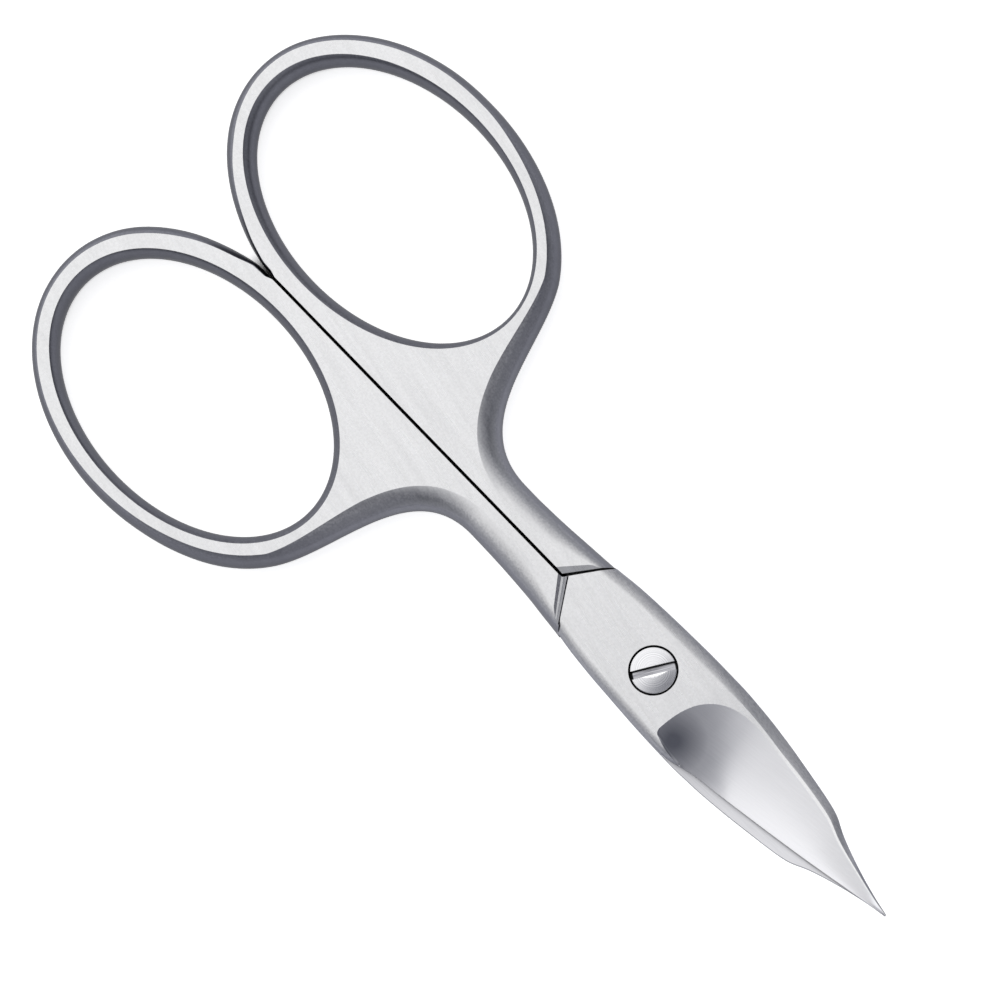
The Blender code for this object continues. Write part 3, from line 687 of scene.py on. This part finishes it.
def block(name, low, high, finish, slots, others=None):
    """A closed cutter between two loops. Others gives some of its sides another finish."""
    shape = bmesh.new()
    rows = [[shape.verts.new(p) for p in loop] for loop in (low, high)]
    for i in range(len(low)):
        j = (i + 1) % len(low)
        face = shape.faces.new((rows[0][i], rows[0][j], rows[1][j], rows[1][i]))
        face.material_index = (others or {}).get(i, finish)
    for row in (rows[0][::-1], rows[1]):
        shape.faces.new(row).material_index = finish
    bmesh.ops.recalc_face_normals(shape, faces=shape.faces)
    return new_object(name, shape, slots)


def plate_cuts(turn, slots):
    """Room for the other half's shank beside this plate, and the end inside its own shank."""
    near, line = room_front(turn)
    own_apex, own_corner = shoulder_arm(-turn)
    far = near + line * (JOINT_HALF_WIDTH + OVERRUN)
    rear = -(SHOULDER_BACK[LOWER][0] + SHOULDER_OVERLAP) - OVERRUN
    room = [near, far, Vector((rear, far.y)), Vector((rear, near.y))]
    own_arm = (own_corner - own_apex).normalized()
    back = Vector((own_arm.y, -own_arm.x)) * turn * PLATE_OVERLAP
    start, end = own_apex + back + own_arm * PLATE_OVERLAP, own_corner + back + own_arm * OVERRUN
    buried = [start, end, Vector((rear, end.y)), Vector((rear, start.y))]
    cuts = []
    for name, outline in (("room", room), ("buried_end", buried)):
        ends = [[(p.x, p.y, z) for p in outline] for z in (-OVERRUN, HANDLE_THICKNESS + OVERRUN)]
        cuts.append(block(name, *ends, GAP, slots))
    return cuts


# A shoulder's bevel in section: (share of its width, share of its height), from the plate up.
# The cutter crosses the upper half's in passes and leaves a few low ridges on it.
BEVEL_SHARES = {
    LOWER: ((0.0, 0.0), (1.0, 1.0), (1.2, 1.2)),
    UPPER: (
        (0.0, 0.0), (0.12, 0.27), (0.38, 0.43), (0.42, 0.47), (0.66, 0.56), (1.0, 1.0),
        (1.1, 1.13),
    ),
}
BEVEL_DEPTH = {LOWER: 0.000095, UPPER: 0.00022}
# How far a cut runs past both ends of its arm, and the side that meets the plate.
MILL_ENDS, MILL_FOOT = (-0.4, 1.2), 1


def shoulder_mills(side, slots):
    """The milling cuts that bevel a shoulder at its top and at its underside."""
    apex, corner = shoulder_arm(side)
    arm, depth = corner - apex, BEVEL_DEPTH[side]
    inward = Vector((-arm.y, arm.x)).normalized() * side
    mills = []
    for face in (-1, 1):
        loops = []
        for along in MILL_ENDS:
            middle, width = apex + arm * along, mix(*SHOULDER_BEVEL[side], along)
            loop = [(share * width, (up - 1) * depth) for share, up in BEVEL_SHARES[side]]
            loop = [(-OVERRUN, loop[0][1])] + loop + [(loop[-1][0], OVERRUN), (-OVERRUN, OVERRUN)]
            places = [middle + inward * aside for aside, up in loop]
            heights = [MIDDLE + face * (MIDDLE + up) for aside, up in loop]
            loops.append([(place.x, place.y, z) for place, z in zip(places, heights)])
        # Painted shade lies in the corner at the foot of the bevel that is milled in passes.
        foot_shade = {MILL_FOOT: GAP} if side == UPPER else {}
        mills.append(block("shoulder_mill", *loops, FLAT, slots, foot_shade))
    return mills


print("helpers ready")

# %% Forge the two halves
# Faces that meet at more than this keep a sharp line between them.
SHARP = math.radians(9)


def forged_half(name, turn, slots):
    """One half of the scissors. Its handle lies on the side away from its spine."""
    blade = new_object(name + "_blade", blade_shape(turn), slots)
    made = new_object(name, handle_shape(-turn), slots)
    for target, cuts in ((blade, plate_cuts(turn, slots)), (made, shoulder_mills(-turn, slots))):
        for cut in cuts:
            boolean(target, "DIFFERENCE", cut)
        applied(target, cuts)
    boolean(made, "UNION", blade)
    above = HANDLE_THICKNESS + OVERRUN
    bores = [bore(PIN_DIAMETER / 2 + SCREW_CLEARANCE, -OVERRUN, above, slots)]
    if turn > 0:
        seat = MIDDLE + JOINT_THICKNESS / 2 - HEAD_DEPTH - SCREW_CLEARANCE
        bores.append(bore(HEAD_DIAMETER / 2 + SCREW_CLEARANCE, seat, above, slots))
    for one in bores:
        boolean(made, "DIFFERENCE", one)
    applied(made, [blade] + bores)
    made.data.shade_smooth()
    made.data.set_sharp_from_angle(angle=SHARP)
    made.location = PIVOT
    print(name, "has", len(made.data.polygons), "faces")
    return made


# %% [markdown]
# ## Small tools for finishes
# Colours are picked on a screen, so they are written as sRGB hex codes, while Blender
# mixes light in linear values. One function turns the first into the second. Another
# adds one node with its settings, and links it where a setting is another node's socket.
# Each finish is then a short chain of nodes, from a pattern of real size to the shader.

# %% Colours and nodes
def colour(code):
    """A linear colour from an sRGB hex code."""
    parts = [int(code[i:i + 2], 16) / 255 for i in (1, 3, 5)]
    return (*(c / 12.92 if c <= 0.04045 else ((c + 0.055) / 1.055) ** 2.4 for c in parts), 1.0)


def add(tree, kind, settings):
    """Adds a node. A setting is an input, by name or number, a property, or a ramp's stops."""
    node = tree.nodes.new("ShaderNode" + kind)
    for key, value in settings.items():
        if key == "stops":
            elements = node.color_ramp.elements
            for (place, tone), element in zip(value, [*elements] + [None] * len(value)):
                element = element or elements.new(place)
                element.position, element.color = place, tone
        elif isinstance(value, bpy.types.NodeSocket):
            tree.links.new(value, node.inputs[key])
        elif isinstance(key, int) or (key in node.inputs and not hasattr(node, key)):
            node.inputs[key].default_value = value
        else:
            setattr(node, key, value)
    return node


def grey(value):
    return (value, value, value, 1.0)


def empty_material(name):
    material = bpy.data.materials.new(name)
    material.use_nodes = True
    material.node_tree.nodes.clear()
    return material, material.node_tree


def steel_surface(material, tree, body, rough, marks, strength, depth, tint=1.0):
    """The end of every steel's chain: a metal of a body colour, with its marks as a bump."""
    bump = add(tree, "Bump", {"Height": marks, "Strength": strength, "Distance": depth}).outputs[0]
    shader = add(tree, "BsdfPrincipled", {
        "Base Color": body, "Metallic": 1.0, "Roughness": rough, "Normal": bump,
        "Specular Tint": grey(tint),
    })
    add(tree, "OutputMaterial", {"Surface": shader.outputs[0]})
    return material


# The settings of a Mix node that multiplies its colours, inputs 6 and 7.
MULTIPLY = {"data_type": "RGBA", "blend_type": "MULTIPLY", 0: 1.0}
print("light steel in linear light", tuple(round(c, 3) for c in colour("#E2E2E3")))

# %% [markdown]
# ## Belt-ground and tumbled stainless steel
# The forgings are tumbled in stones until they are an even, darker blue grey, and then
# the two flat faces are run over a fine belt along their length. So a flat is a bright
# satin full of fine scratches, and a ring's wall keeps the tumbled grey. From the neck
# forward the belt rolls over the edge, and one finish fades into the other.
# A face's slope therefore picks the tone: the upward part of its normal is 1 on a flat
# and 0 on a wall. This is partly the two finishes and partly painted shade: within one
# finish a tilted face is also drawn darker, standing for the dark that it mirrors. The
# scissors only ever turn about an upright screw, so this holds in every position. The
# scratches are a noise squeezed 32 to 1 along the belt's direction.
# Real ones are about 0.02 mm wide. They are drawn 0.1 mm wide, just wide enough to show.

# %% Scratches of a belt
SCRATCH_WIDTH, SCRATCH_LENGTH, SCRATCH_DEPTH = 0.0001, 0.0032, 0.000004
BELT_LEAN = math.radians(-9.0)
# A noise lies between these two nearly everywhere.
NOISE_LOW, NOISE_HIGH = 0.3, 0.7


def scratches(tree, width, length, lean, detail=3.0):
    """A noise drawn out along one direction in the plane of the scissors, from 0 to 1."""
    place = add(tree, "TexCoord", {}).outputs["Object"]
    turned = add(tree, "Mapping", {
        "vector_type": "TEXTURE", "Vector": place, "Rotation": (0, 0, lean),
    }).outputs[0]
    squeezed = add(tree, "Mapping", {
        "Vector": turned, "Scale": (1 / length, 1 / width, 0.25 / width),
    }).outputs[0]
    return add(tree, "TexNoise", {
        "Vector": squeezed, "Scale": 1.0, "Detail": detail, "Roughness": 0.6,
    }).outputs["Fac"]


print("scratch noise", round(1 / SCRATCH_WIDTH), "cells a metre across")

# %% Ground and tumbled steel
# A tumbled wall has a cloudy grain of 0.2 mm, and the slope's border wavers a little with it.
GRAIN_CELLS, GRAIN_WAVER, BROAD_SHARE, ROUGHNESS_SPREAD = 5200.0, 0.10, 0.7, 0.05
# From the neck forward, between these two places, the belt has run over the walls too.
ROLLED_FROM, ROLLED_TO = -0.030, -0.024


def ground_steel(name, tones, roughness, rolled_tones=()):
    """Brushed metal toned by slope, partly painted shade: tones are (upward share, sRGB colour).
    """
    material, tree = empty_material(name)
    fine = scratches(tree, SCRATCH_WIDTH, SCRATCH_LENGTH, BELT_LEAN)
    broad = scratches(tree, SCRATCH_WIDTH * 6, SCRATCH_LENGTH * 3, BELT_LEAN, 1.0)
    both = add(tree, "Math", {
        "operation": "MULTIPLY_ADD", 0: broad, 1: BROAD_SHARE, 2: fine,
    }).outputs[0]
    place = add(tree, "TexCoord", {}).outputs["Object"]
    grain = add(tree, "TexNoise", {
        "Vector": place, "Scale": GRAIN_CELLS, "Detail": 2.0,
    }).outputs["Fac"]
    normal = add(tree, "NewGeometry", {}).outputs["Normal"]
    upward = add(tree, "SeparateXYZ", {"Vector": normal}).outputs["Z"]
    slope = add(tree, "Math", {"operation": "ABSOLUTE", 0: upward}).outputs[0]
    slope = add(tree, "Math", {
        "operation": "SUBTRACT", 0: slope, 1: GRAIN_WAVER / 2,
    }).outputs[0]
    slope = add(tree, "Math", {
        "operation": "MULTIPLY_ADD", 0: grain, 1: GRAIN_WAVER, 2: slope,
    }).outputs[0]
    shades = [add(tree, "ValToRGB", {
        "Fac": slope, "stops": [(share, colour(code)) for share, code in stops],
    }).outputs["Color"] for stops in (tones, rolled_tones) if stops]
    if rolled_tones:
        forward = add(tree, "SeparateXYZ", {"Vector": place}).outputs["X"]
        rolled = add(tree, "MapRange", {
            "interpolation_type": "SMOOTHSTEP", "Value": forward,
            "From Min": ROLLED_FROM, "From Max": ROLLED_TO,
        }).outputs[0]
        shades = [add(tree, "Mix", {
            "data_type": "RGBA", 0: rolled, 6: shades[0], 7: shades[1],
        }).outputs[2]]
    body = shades[0]
    for pattern, stops in (
        (grain, [(0.35, grey(0.93)), (0.65, grey(1.0))]),
        (both, [(0.55, grey(0.90)), (1.0, grey(1.0))]),
    ):
        veil = add(tree, "ValToRGB", {"Fac": pattern, "stops": stops}).outputs["Color"]
        body = add(tree, "Mix", {**MULTIPLY, 6: body, 7: veil}).outputs[2]
    rough = add(tree, "MapRange", {
        "Value": fine, "From Min": NOISE_LOW, "From Max": NOISE_HIGH,
        "To Min": roughness - ROUGHNESS_SPREAD, "To Max": roughness + ROUGHNESS_SPREAD,
    }).outputs[0]
    # The tint dims a grazing reflection, a painted darkening along the outlines.
    return steel_surface(
        material, tree, body, rough, both, strength=0.35, depth=SCRATCH_DEPTH, tint=0.6,
    )


belt_ground = ground_steel("belt_ground_stainless_steel", [
    (0.0, "#6A6B73"), (0.55, "#777880"), (0.78, "#A4A5AB"), (0.97, "#E4E4E5"),
], roughness=0.30)
tumbled = ground_steel("tumbled_stainless_steel", [
    (0.0, "#595A62"), (0.62, "#65666E"), (0.84, "#8C8D95"), (0.97, "#E4E4E5"),
], roughness=0.34, rolled_tones=[
    (0.0, "#717279"), (0.62, "#787981"), (0.78, "#9D9EA4"), (0.86, "#B8B9BD"),
    (0.92, "#D8D8DA"), (0.97, "#E4E4E5"),
])
print("finishes", belt_ground.name, tumbled.name)

# %% [markdown]
# ## Hollow-ground blade face
# The rim of a wheel cuts the hollow along the blade, so its scratches run nearly
# lengthwise, a little across the belt's, and they are very shallow. So the hollow shows
# its curve as one long shade, from the dark rear to the bright tip. At the heel the colour
# is also painted darker, a painted shade for the dark that the hollow mirrors there. A
# painted mask could hold it, but the distance from one point is enough. The shear faces
# are whetted on a stone, which leaves them a duller, even grey.

# %% Hollow-ground and whetted steel, and the painted gap shade
HEEL_SHADE_PLACE, HEEL_SHADE_SPREAD = (0.0054, -0.0028, 0.003), (0.0005, 0.0029)
WHEEL_DEPTH, WHEEL_ROUGHNESS = 0.000003, (0.28, 0.32)


def wheel_ground_steel(name, tones, lean, heel_shade=None):
    """Steel with a wheel's fine scratches, leaning by some degrees. A last colour paints shade at
    the heel.
    """
    material, tree = empty_material(name)
    fine = scratches(tree, SCRATCH_WIDTH, SCRATCH_LENGTH, math.radians(lean))
    body = add(tree, "ValToRGB", {
        "Fac": fine, "stops": [(0.25, colour(tones[0])), (0.75, colour(tones[1]))],
    }).outputs["Color"]
    if heel_shade:
        place = add(tree, "TexCoord", {}).outputs["Object"]
        apart = add(tree, "VectorMath", {
            "operation": "DISTANCE", 0: place, 1: HEEL_SHADE_PLACE,
        }).outputs["Value"]
        away_from_shade = add(tree, "MapRange", {
            "Value": apart, "From Min": HEEL_SHADE_SPREAD[0], "From Max": HEEL_SHADE_SPREAD[1],
        }).outputs[0]
        heel_shade_tone = add(tree, "ValToRGB", {
            "Fac": away_from_shade, "stops": [(0.0, colour(heel_shade)), (1.0, grey(1.0))],
        }).outputs["Color"]
        body = add(tree, "Mix", {**MULTIPLY, 6: body, 7: heel_shade_tone}).outputs[2]
    rough = add(tree, "MapRange", {
        "Value": fine, "From Min": NOISE_LOW, "From Max": NOISE_HIGH,
        "To Min": WHEEL_ROUGHNESS[0], "To Max": WHEEL_ROUGHNESS[1],
    }).outputs[0]
    return steel_surface(material, tree, body, rough, fine, strength=0.07, depth=WHEEL_DEPTH)


def painted_gap_shade():
    """Near-black steel on the walls of the narrow gaps: a painted shade, mottled a little."""
    material, tree = empty_material("painted_gap_shade_steel")
    place = add(tree, "TexCoord", {}).outputs["Object"]
    gap_mottle = add(tree, "TexNoise", {
        "Vector": place, "Scale": 3000.0, "Detail": 2.0,
    }).outputs["Fac"]
    tone = add(tree, "ValToRGB", {
        "Fac": gap_mottle, "stops": [(0.3, colour("#1D1D1F")), (0.8, colour("#2E2E31"))],
    }).outputs["Color"]
    shader = add(tree, "BsdfPrincipled", {
        "Base Color": tone, "Metallic": 0.6, "Roughness": 0.45,
    })
    add(tree, "OutputMaterial", {"Surface": shader.outputs[0]})
    return material


slots = [
    belt_ground, tumbled,
    # The hollow's last colour is a painted shade at its heel.
    wheel_ground_steel(
        "hollow_ground_stainless_steel", ("#E2E2E5", "#E9E9EC"), lean=8, heel_shade="#9FA1A9",
    ),
    painted_gap_shade(),
    wheel_ground_steel("whetted_stainless_steel", ("#C6C6CA", "#D6D6D9"), lean=4),
]
print("slots", [material.name for material in slots])

# %% Make the halves and hand them to their bodies
upper = forged_half("upper_forging", 1, slots)
lower = forged_half("lower_forging", -1, slots)
for piece, node, body in ((upper, "upper_half", "upper"), (lower, "lower_half", "lower")):
    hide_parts(node)
    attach(piece, body)
    low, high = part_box(node)
    print(piece.name, "stands in a box", [round(v * 1000, 2) for v in (high - low)], "mm")

# %% [markdown]
# ## The pivot screw
# The screw is turned on a lathe, so it is a profile spun about its axis. Its head has a
# satin polish and a slight dome, and shades from bright to dark across its face. The
# slot is sawn afterwards, by a Boolean with a plain block. Its walls stay rough. Painted
# shade darkens them by their slope, and darkens the slot most at the foot of the rear wall
# and at the open ends. The front lip is filed back and burnished, and is painted near
# white as a highlight, so that slope is the brightest line on the head.

# %% Turn the screw and saw its slot
LIP_HEIGHT, LIP_SLOPE, SCREW_SHARP = 0.00011, math.radians(17), math.radians(24)
DOME_RINGS, CORNER_RINGS, TURN_STEPS, AXIS_MERGED = 14, 6, 128, 0.000001
# The turned faces keep the first finish. These are the next two.
SAWN, LIP = 1, 2


def screw_profile():
    top, end = MIDDLE + JOINT_THICKNESS / 2, MIDDLE - JOINT_THICKNESS / 2
    head, pin, under = HEAD_DIAMETER / 2, PIN_DIAMETER / 2, top - HEAD_DEPTH
    rim = head - HEAD_CHAMFER
    line = []
    for i in range(DOME_RINGS + 1):
        share = i / DOME_RINGS
        line.append((rim * i / DOME_RINGS, top + HEAD_DOME * (1 - share ** 2)))
    for i in range(1, CORNER_RINGS + 1):
        turn = math.radians(90 / CORNER_RINGS * i)
        drop = HEAD_CHAMFER * (1 - math.cos(turn))
        line.append((rim + HEAD_CHAMFER * math.sin(turn), top - drop))
    line += [(head, under), (pin, under), (pin, end + HEAD_CHAMFER), (pin - HEAD_CHAMFER, end)]
    return line + [(0.0, end)]


def turned_screw(materials):
    shape = bmesh.new()
    line = [shape.verts.new((radius, 0, z)) for radius, z in screw_profile()]
    for a, b in zip(line, line[1:]):
        shape.edges.new((a, b))
    made = new_object("slotted_pivot_screw", shape, materials)
    turned = made.modifiers.new("turned", "SCREW")
    turned.steps = turned.render_steps = TURN_STEPS
    turned.use_merge_vertices = True
    turned.merge_threshold = AXIS_MERGED
    # The saw's cut in section. Its front lip is filed back to a slope that fades at the ends.
    top, half = MIDDLE + JOINT_THICKNESS / 2, SLOT_WIDTH / 2
    above, lip = top + OVERRUN, top + LIP_HEIGHT
    cut = [
        (half, top - SLOT_DEPTH), (half, above),
        (-half - (above - lip) / math.tan(LIP_SLOPE), above), (-half, lip),
        (-half, top - SLOT_DEPTH),
    ]
    loops = [[(end * HEAD_DIAMETER, across, z) for across, z in cut] for end in (-1, 1)]
    slot = block("slot_saw", *loops, SAWN, materials, {2: LIP})
    slot.rotation_euler.z = SLOT_TURN
    boolean(made, "DIFFERENCE", slot)
    applied(made, [slot])
    made.data.shade_smooth()
    made.data.set_sharp_from_angle(angle=SCREW_SHARP)
    made.location = PIVOT
    return made


# %% Polish and painted slot shade of the screw
LATHE_PITCH, SAW_PITCH, SAW_LENGTH = 0.00009, 0.00008, 0.002
# Where the painted shade starts and is full, in from the slot's rear wall and from the head's rim.
CORNER_SHADE, END_SHADE, SHADE_GREY = (0.00009, 0.00004), (0.00018, 0.00012), 0.02


def polished_steel(name, tones, roughness, sawn=False):
    """Lathe marks are rings about the axis. Saw marks are straight, along the slot, with painted
    shade.
    """
    material, tree = empty_material(name)
    place = add(tree, "TexCoord", {}).outputs["Object"]
    flat = add(tree, "VectorMath", {
        "operation": "MULTIPLY", 0: place, 1: (1, 1, 0),
    }).outputs[0]
    radius = add(tree, "VectorMath", {"operation": "LENGTH", 0: flat}).outputs["Value"]
    if sawn:
        marks = scratches(tree, SAW_PITCH, SAW_LENGTH, SLOT_TURN)
    else:
        marks = add(tree, "TexNoise", {
            "noise_dimensions": "1D", "W": radius, "Scale": 1 / LATHE_PITCH, "Detail": 2.0,
        }).outputs["Fac"]
    body = add(tree, "ValToRGB", {
        "Fac": marks, "stops": [(0.38, colour(tones[0])), (0.62, colour(tones[1]))],
    }).outputs["Color"]
    if sawn:
        # Painted shade: the walls go dark by their slope, the floor by the rear wall and the ends.
        normal = add(tree, "NewGeometry", {}).outputs["Normal"]
        upward = add(tree, "SeparateXYZ", {"Vector": normal}).outputs["Z"]
        slot_shade = add(tree, "ValToRGB", {
            "Fac": upward, "stops": [(0.2, colour("#151517")), (0.7, grey(1.0))],
        }).outputs["Color"]
        turned = add(tree, "Mapping", {
            "vector_type": "TEXTURE", "Vector": place, "Rotation": (0, 0, SLOT_TURN),
        }).outputs[0]
        across = add(tree, "SeparateXYZ", {"Vector": turned}).outputs["Y"]
        for apart, edge, (start, full) in (
            (across, SLOT_WIDTH / 2, CORNER_SHADE), (radius, HEAD_DIAMETER / 2, END_SHADE),
        ):
            recess_shade = add(tree, "MapRange", {
                "Value": apart, "From Min": edge - start, "From Max": edge - full,
                "To Min": 1.0, "To Max": SHADE_GREY,
            }).outputs[0]
            slot_shade = add(tree, "Mix", {**MULTIPLY, 6: slot_shade, 7: recess_shade}).outputs[2]
        body = add(tree, "Mix", {**MULTIPLY, 6: body, 7: slot_shade}).outputs[2]
    return steel_surface(
        material, tree, body, roughness, marks, strength=0.3, depth=SCRATCH_DEPTH,
    )


screw = turned_screw([
    polished_steel("lathe_turned_polished_steel", ("#D6D6D9", "#E9E9EB"), roughness=0.27),
    polished_steel("sawn_slot_steel", ("#97979D", "#D6D6DA"), roughness=0.3, sawn=True),
    # The lip is smoother, and its near-white colour is a painted highlight.
    polished_steel("burnished_lip_highlight_steel", ("#FBFBFB", "#FFFFFF"), roughness=0.12),
])
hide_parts("pivot_screw")
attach(screw, "lower")
print("screw has", len(screw.data.polygons), "faces")

# %% [markdown]
# ## Floor, lamps and world
# Polished steel shows what is around it, so the lighting is a small stage. A white tent
# and a wide soft lamp over the handles are what the flats and the tip mirror. High up
# toward the tips hangs a dark flag, and the rear of the hollow grind mirrors that. Below
# the flag the room is light again. Tent, flag and room are colours of the world by
# direction, which needs no more lamps. The floor is white paper: its own colour, with a
# little added light for the camera and for reflections. Ambient occlusion darkens both
# close to the steel, so that the shadow stays under it.

# %% White paper floor
FLOOR_SIZE, FLOOR_DROP, FLOOR_GLOW = 2.0, 0.00002, 0.75
# How near the steel the paper darkens, and the open shares at which it is dark and white.
SHADOW_REACH, SHADOW_OPEN = 0.0015, (0.19, 0.42)


def paper_floor():
    shape = bmesh.new()
    bmesh.ops.create_grid(shape, x_segments=1, y_segments=1, size=FLOOR_SIZE)
    bmesh.ops.translate(shape, verts=shape.verts, vec=(0, 0, cad_box[0].z - FLOOR_DROP))
    material, tree = empty_material("white_paper")
    path = add(tree, "LightPath", {})
    seen = path.outputs["Is Camera Ray"]
    for ray in ("Is Glossy Ray", "Is Transmission Ray"):
        seen = add(tree, "Math", {
            "operation": "MAXIMUM", 0: seen, 1: path.outputs[ray],
        }).outputs[0]
    open_air = add(tree, "AmbientOcclusion", {
        "samples": 16, "Distance": SHADOW_REACH,
    }).outputs["AO"]
    held = add(tree, "MapRange", {
        "interpolation_type": "SMOOTHSTEP", "Value": open_air,
        "From Min": SHADOW_OPEN[0], "From Max": SHADOW_OPEN[1],
    }).outputs[0]
    glow = seen
    for share in (held, FLOOR_GLOW):
        glow = add(tree, "Math", {"operation": "MULTIPLY", 0: glow, 1: share}).outputs[0]
    shaded = add(tree, "ValToRGB", {
        "Fac": held, "stops": [(0.0, grey(0.01)), (1.0, colour("#F2F2F2"))],
    }).outputs["Color"]
    paper = add(tree, "BsdfDiffuse", {"Color": shaded})
    light = add(tree, "Emission", {"Strength": glow})
    both = add(tree, "AddShader", {0: paper.outputs[0], 1: light.outputs[0]})
    add(tree, "OutputMaterial", {"Surface": both.outputs[0]})
    floor = new_object("paper_floor", shape, [material])
    return floor


floor = paper_floor()
print("floor at", round(cad_box[0].z - FLOOR_DROP, 6))

# %% Soft lamp
LAMP_PLACE, LAMP_POWER = Vector((-0.36, 0.0, 0.5)), 0.5
LAMP_LENGTH, LAMP_WIDTH = 0.6, 0.8

light = bpy.data.lights.new("overhead_softbox", "AREA")
light.shape, light.energy = "RECTANGLE", LAMP_POWER
light.size, light.size_y = LAMP_LENGTH, LAMP_WIDTH
lamp = bpy.data.objects.new("overhead_softbox", light)
bpy.context.scene.collection.objects.link(lamp)
lamp.location = LAMP_PLACE
lamp.rotation_euler = LAMP_PLACE.to_track_quat("Z", "Y").to_euler()

# %% White tent, dark flag and room
# Colours by direction, from -1 to 1: X runs to the tips, where the flag hangs at 0.4.
TENT = {
    "X": (
        (-1.0, "#EFEFEF"), (-0.2, "#F7F7F7"), (-0.07, "#D4D4D7"), (0.06, "#ABADB2"),
        (0.17, "#888990"), (0.4, "#484953"), (0.62, "#A0A1A8"), (1.0, "#E0E0E2"),
    ),
    "Y": (
        (-1.0, "#F4F4F5"), (-0.3, "#FFFFFF"), (0.25, "#FFFFFF"), (0.6, "#EAEAEC"),
        (1.0, "#E0E0E3"),
    ),
}
ROOM_TONE, ROOM_TOP, ROOM_GONE = "#C8C9CC", 0.3, 0.55

world = bpy.data.worlds.new("studio_air")
bpy.context.scene.world = world
world.use_nodes = True
sky = world.node_tree
sky.nodes.clear()
direction = add(sky, "TexCoord", {}).outputs["Generated"]
parted = add(sky, "SeparateXYZ", {"Vector": direction})
sides = []
for axis, stops in TENT.items():
    share = add(sky, "MapRange", {
        "Value": parted.outputs[axis], "From Min": -1.0,
    }).outputs[0]
    sides.append(add(sky, "ValToRGB", {
        "Fac": share, "stops": [((place + 1) / 2, colour(code)) for place, code in stops],
    }).outputs["Color"])
air = add(sky, "Mix", {**MULTIPLY, 6: sides[0], 7: sides[1]}).outputs[2]
room = add(sky, "ValToRGB", {
    "Fac": parted.outputs["Z"],
    "stops": [(ROOM_TOP, colour(ROOM_TONE)), (ROOM_GONE, grey(0.0))],
}).outputs["Color"]
air = add(sky, "Mix", {
    **MULTIPLY, "blend_type": "LIGHTEN", 6: air, 7: room,
}).outputs[2]
studio = add(sky, "Background", {"Color": air, "Strength": 1.0})
add(sky, "OutputWorld", {"Surface": studio.outputs[0]})
print("tent tones", {axis: len(stops) for axis, stops in TENT.items()})

# %% Look and sizes
bpy.context.scene.view_settings.view_transform = "Standard"
print("cad box", [tuple(round(v, 5) for v in c) for c in cad_box])
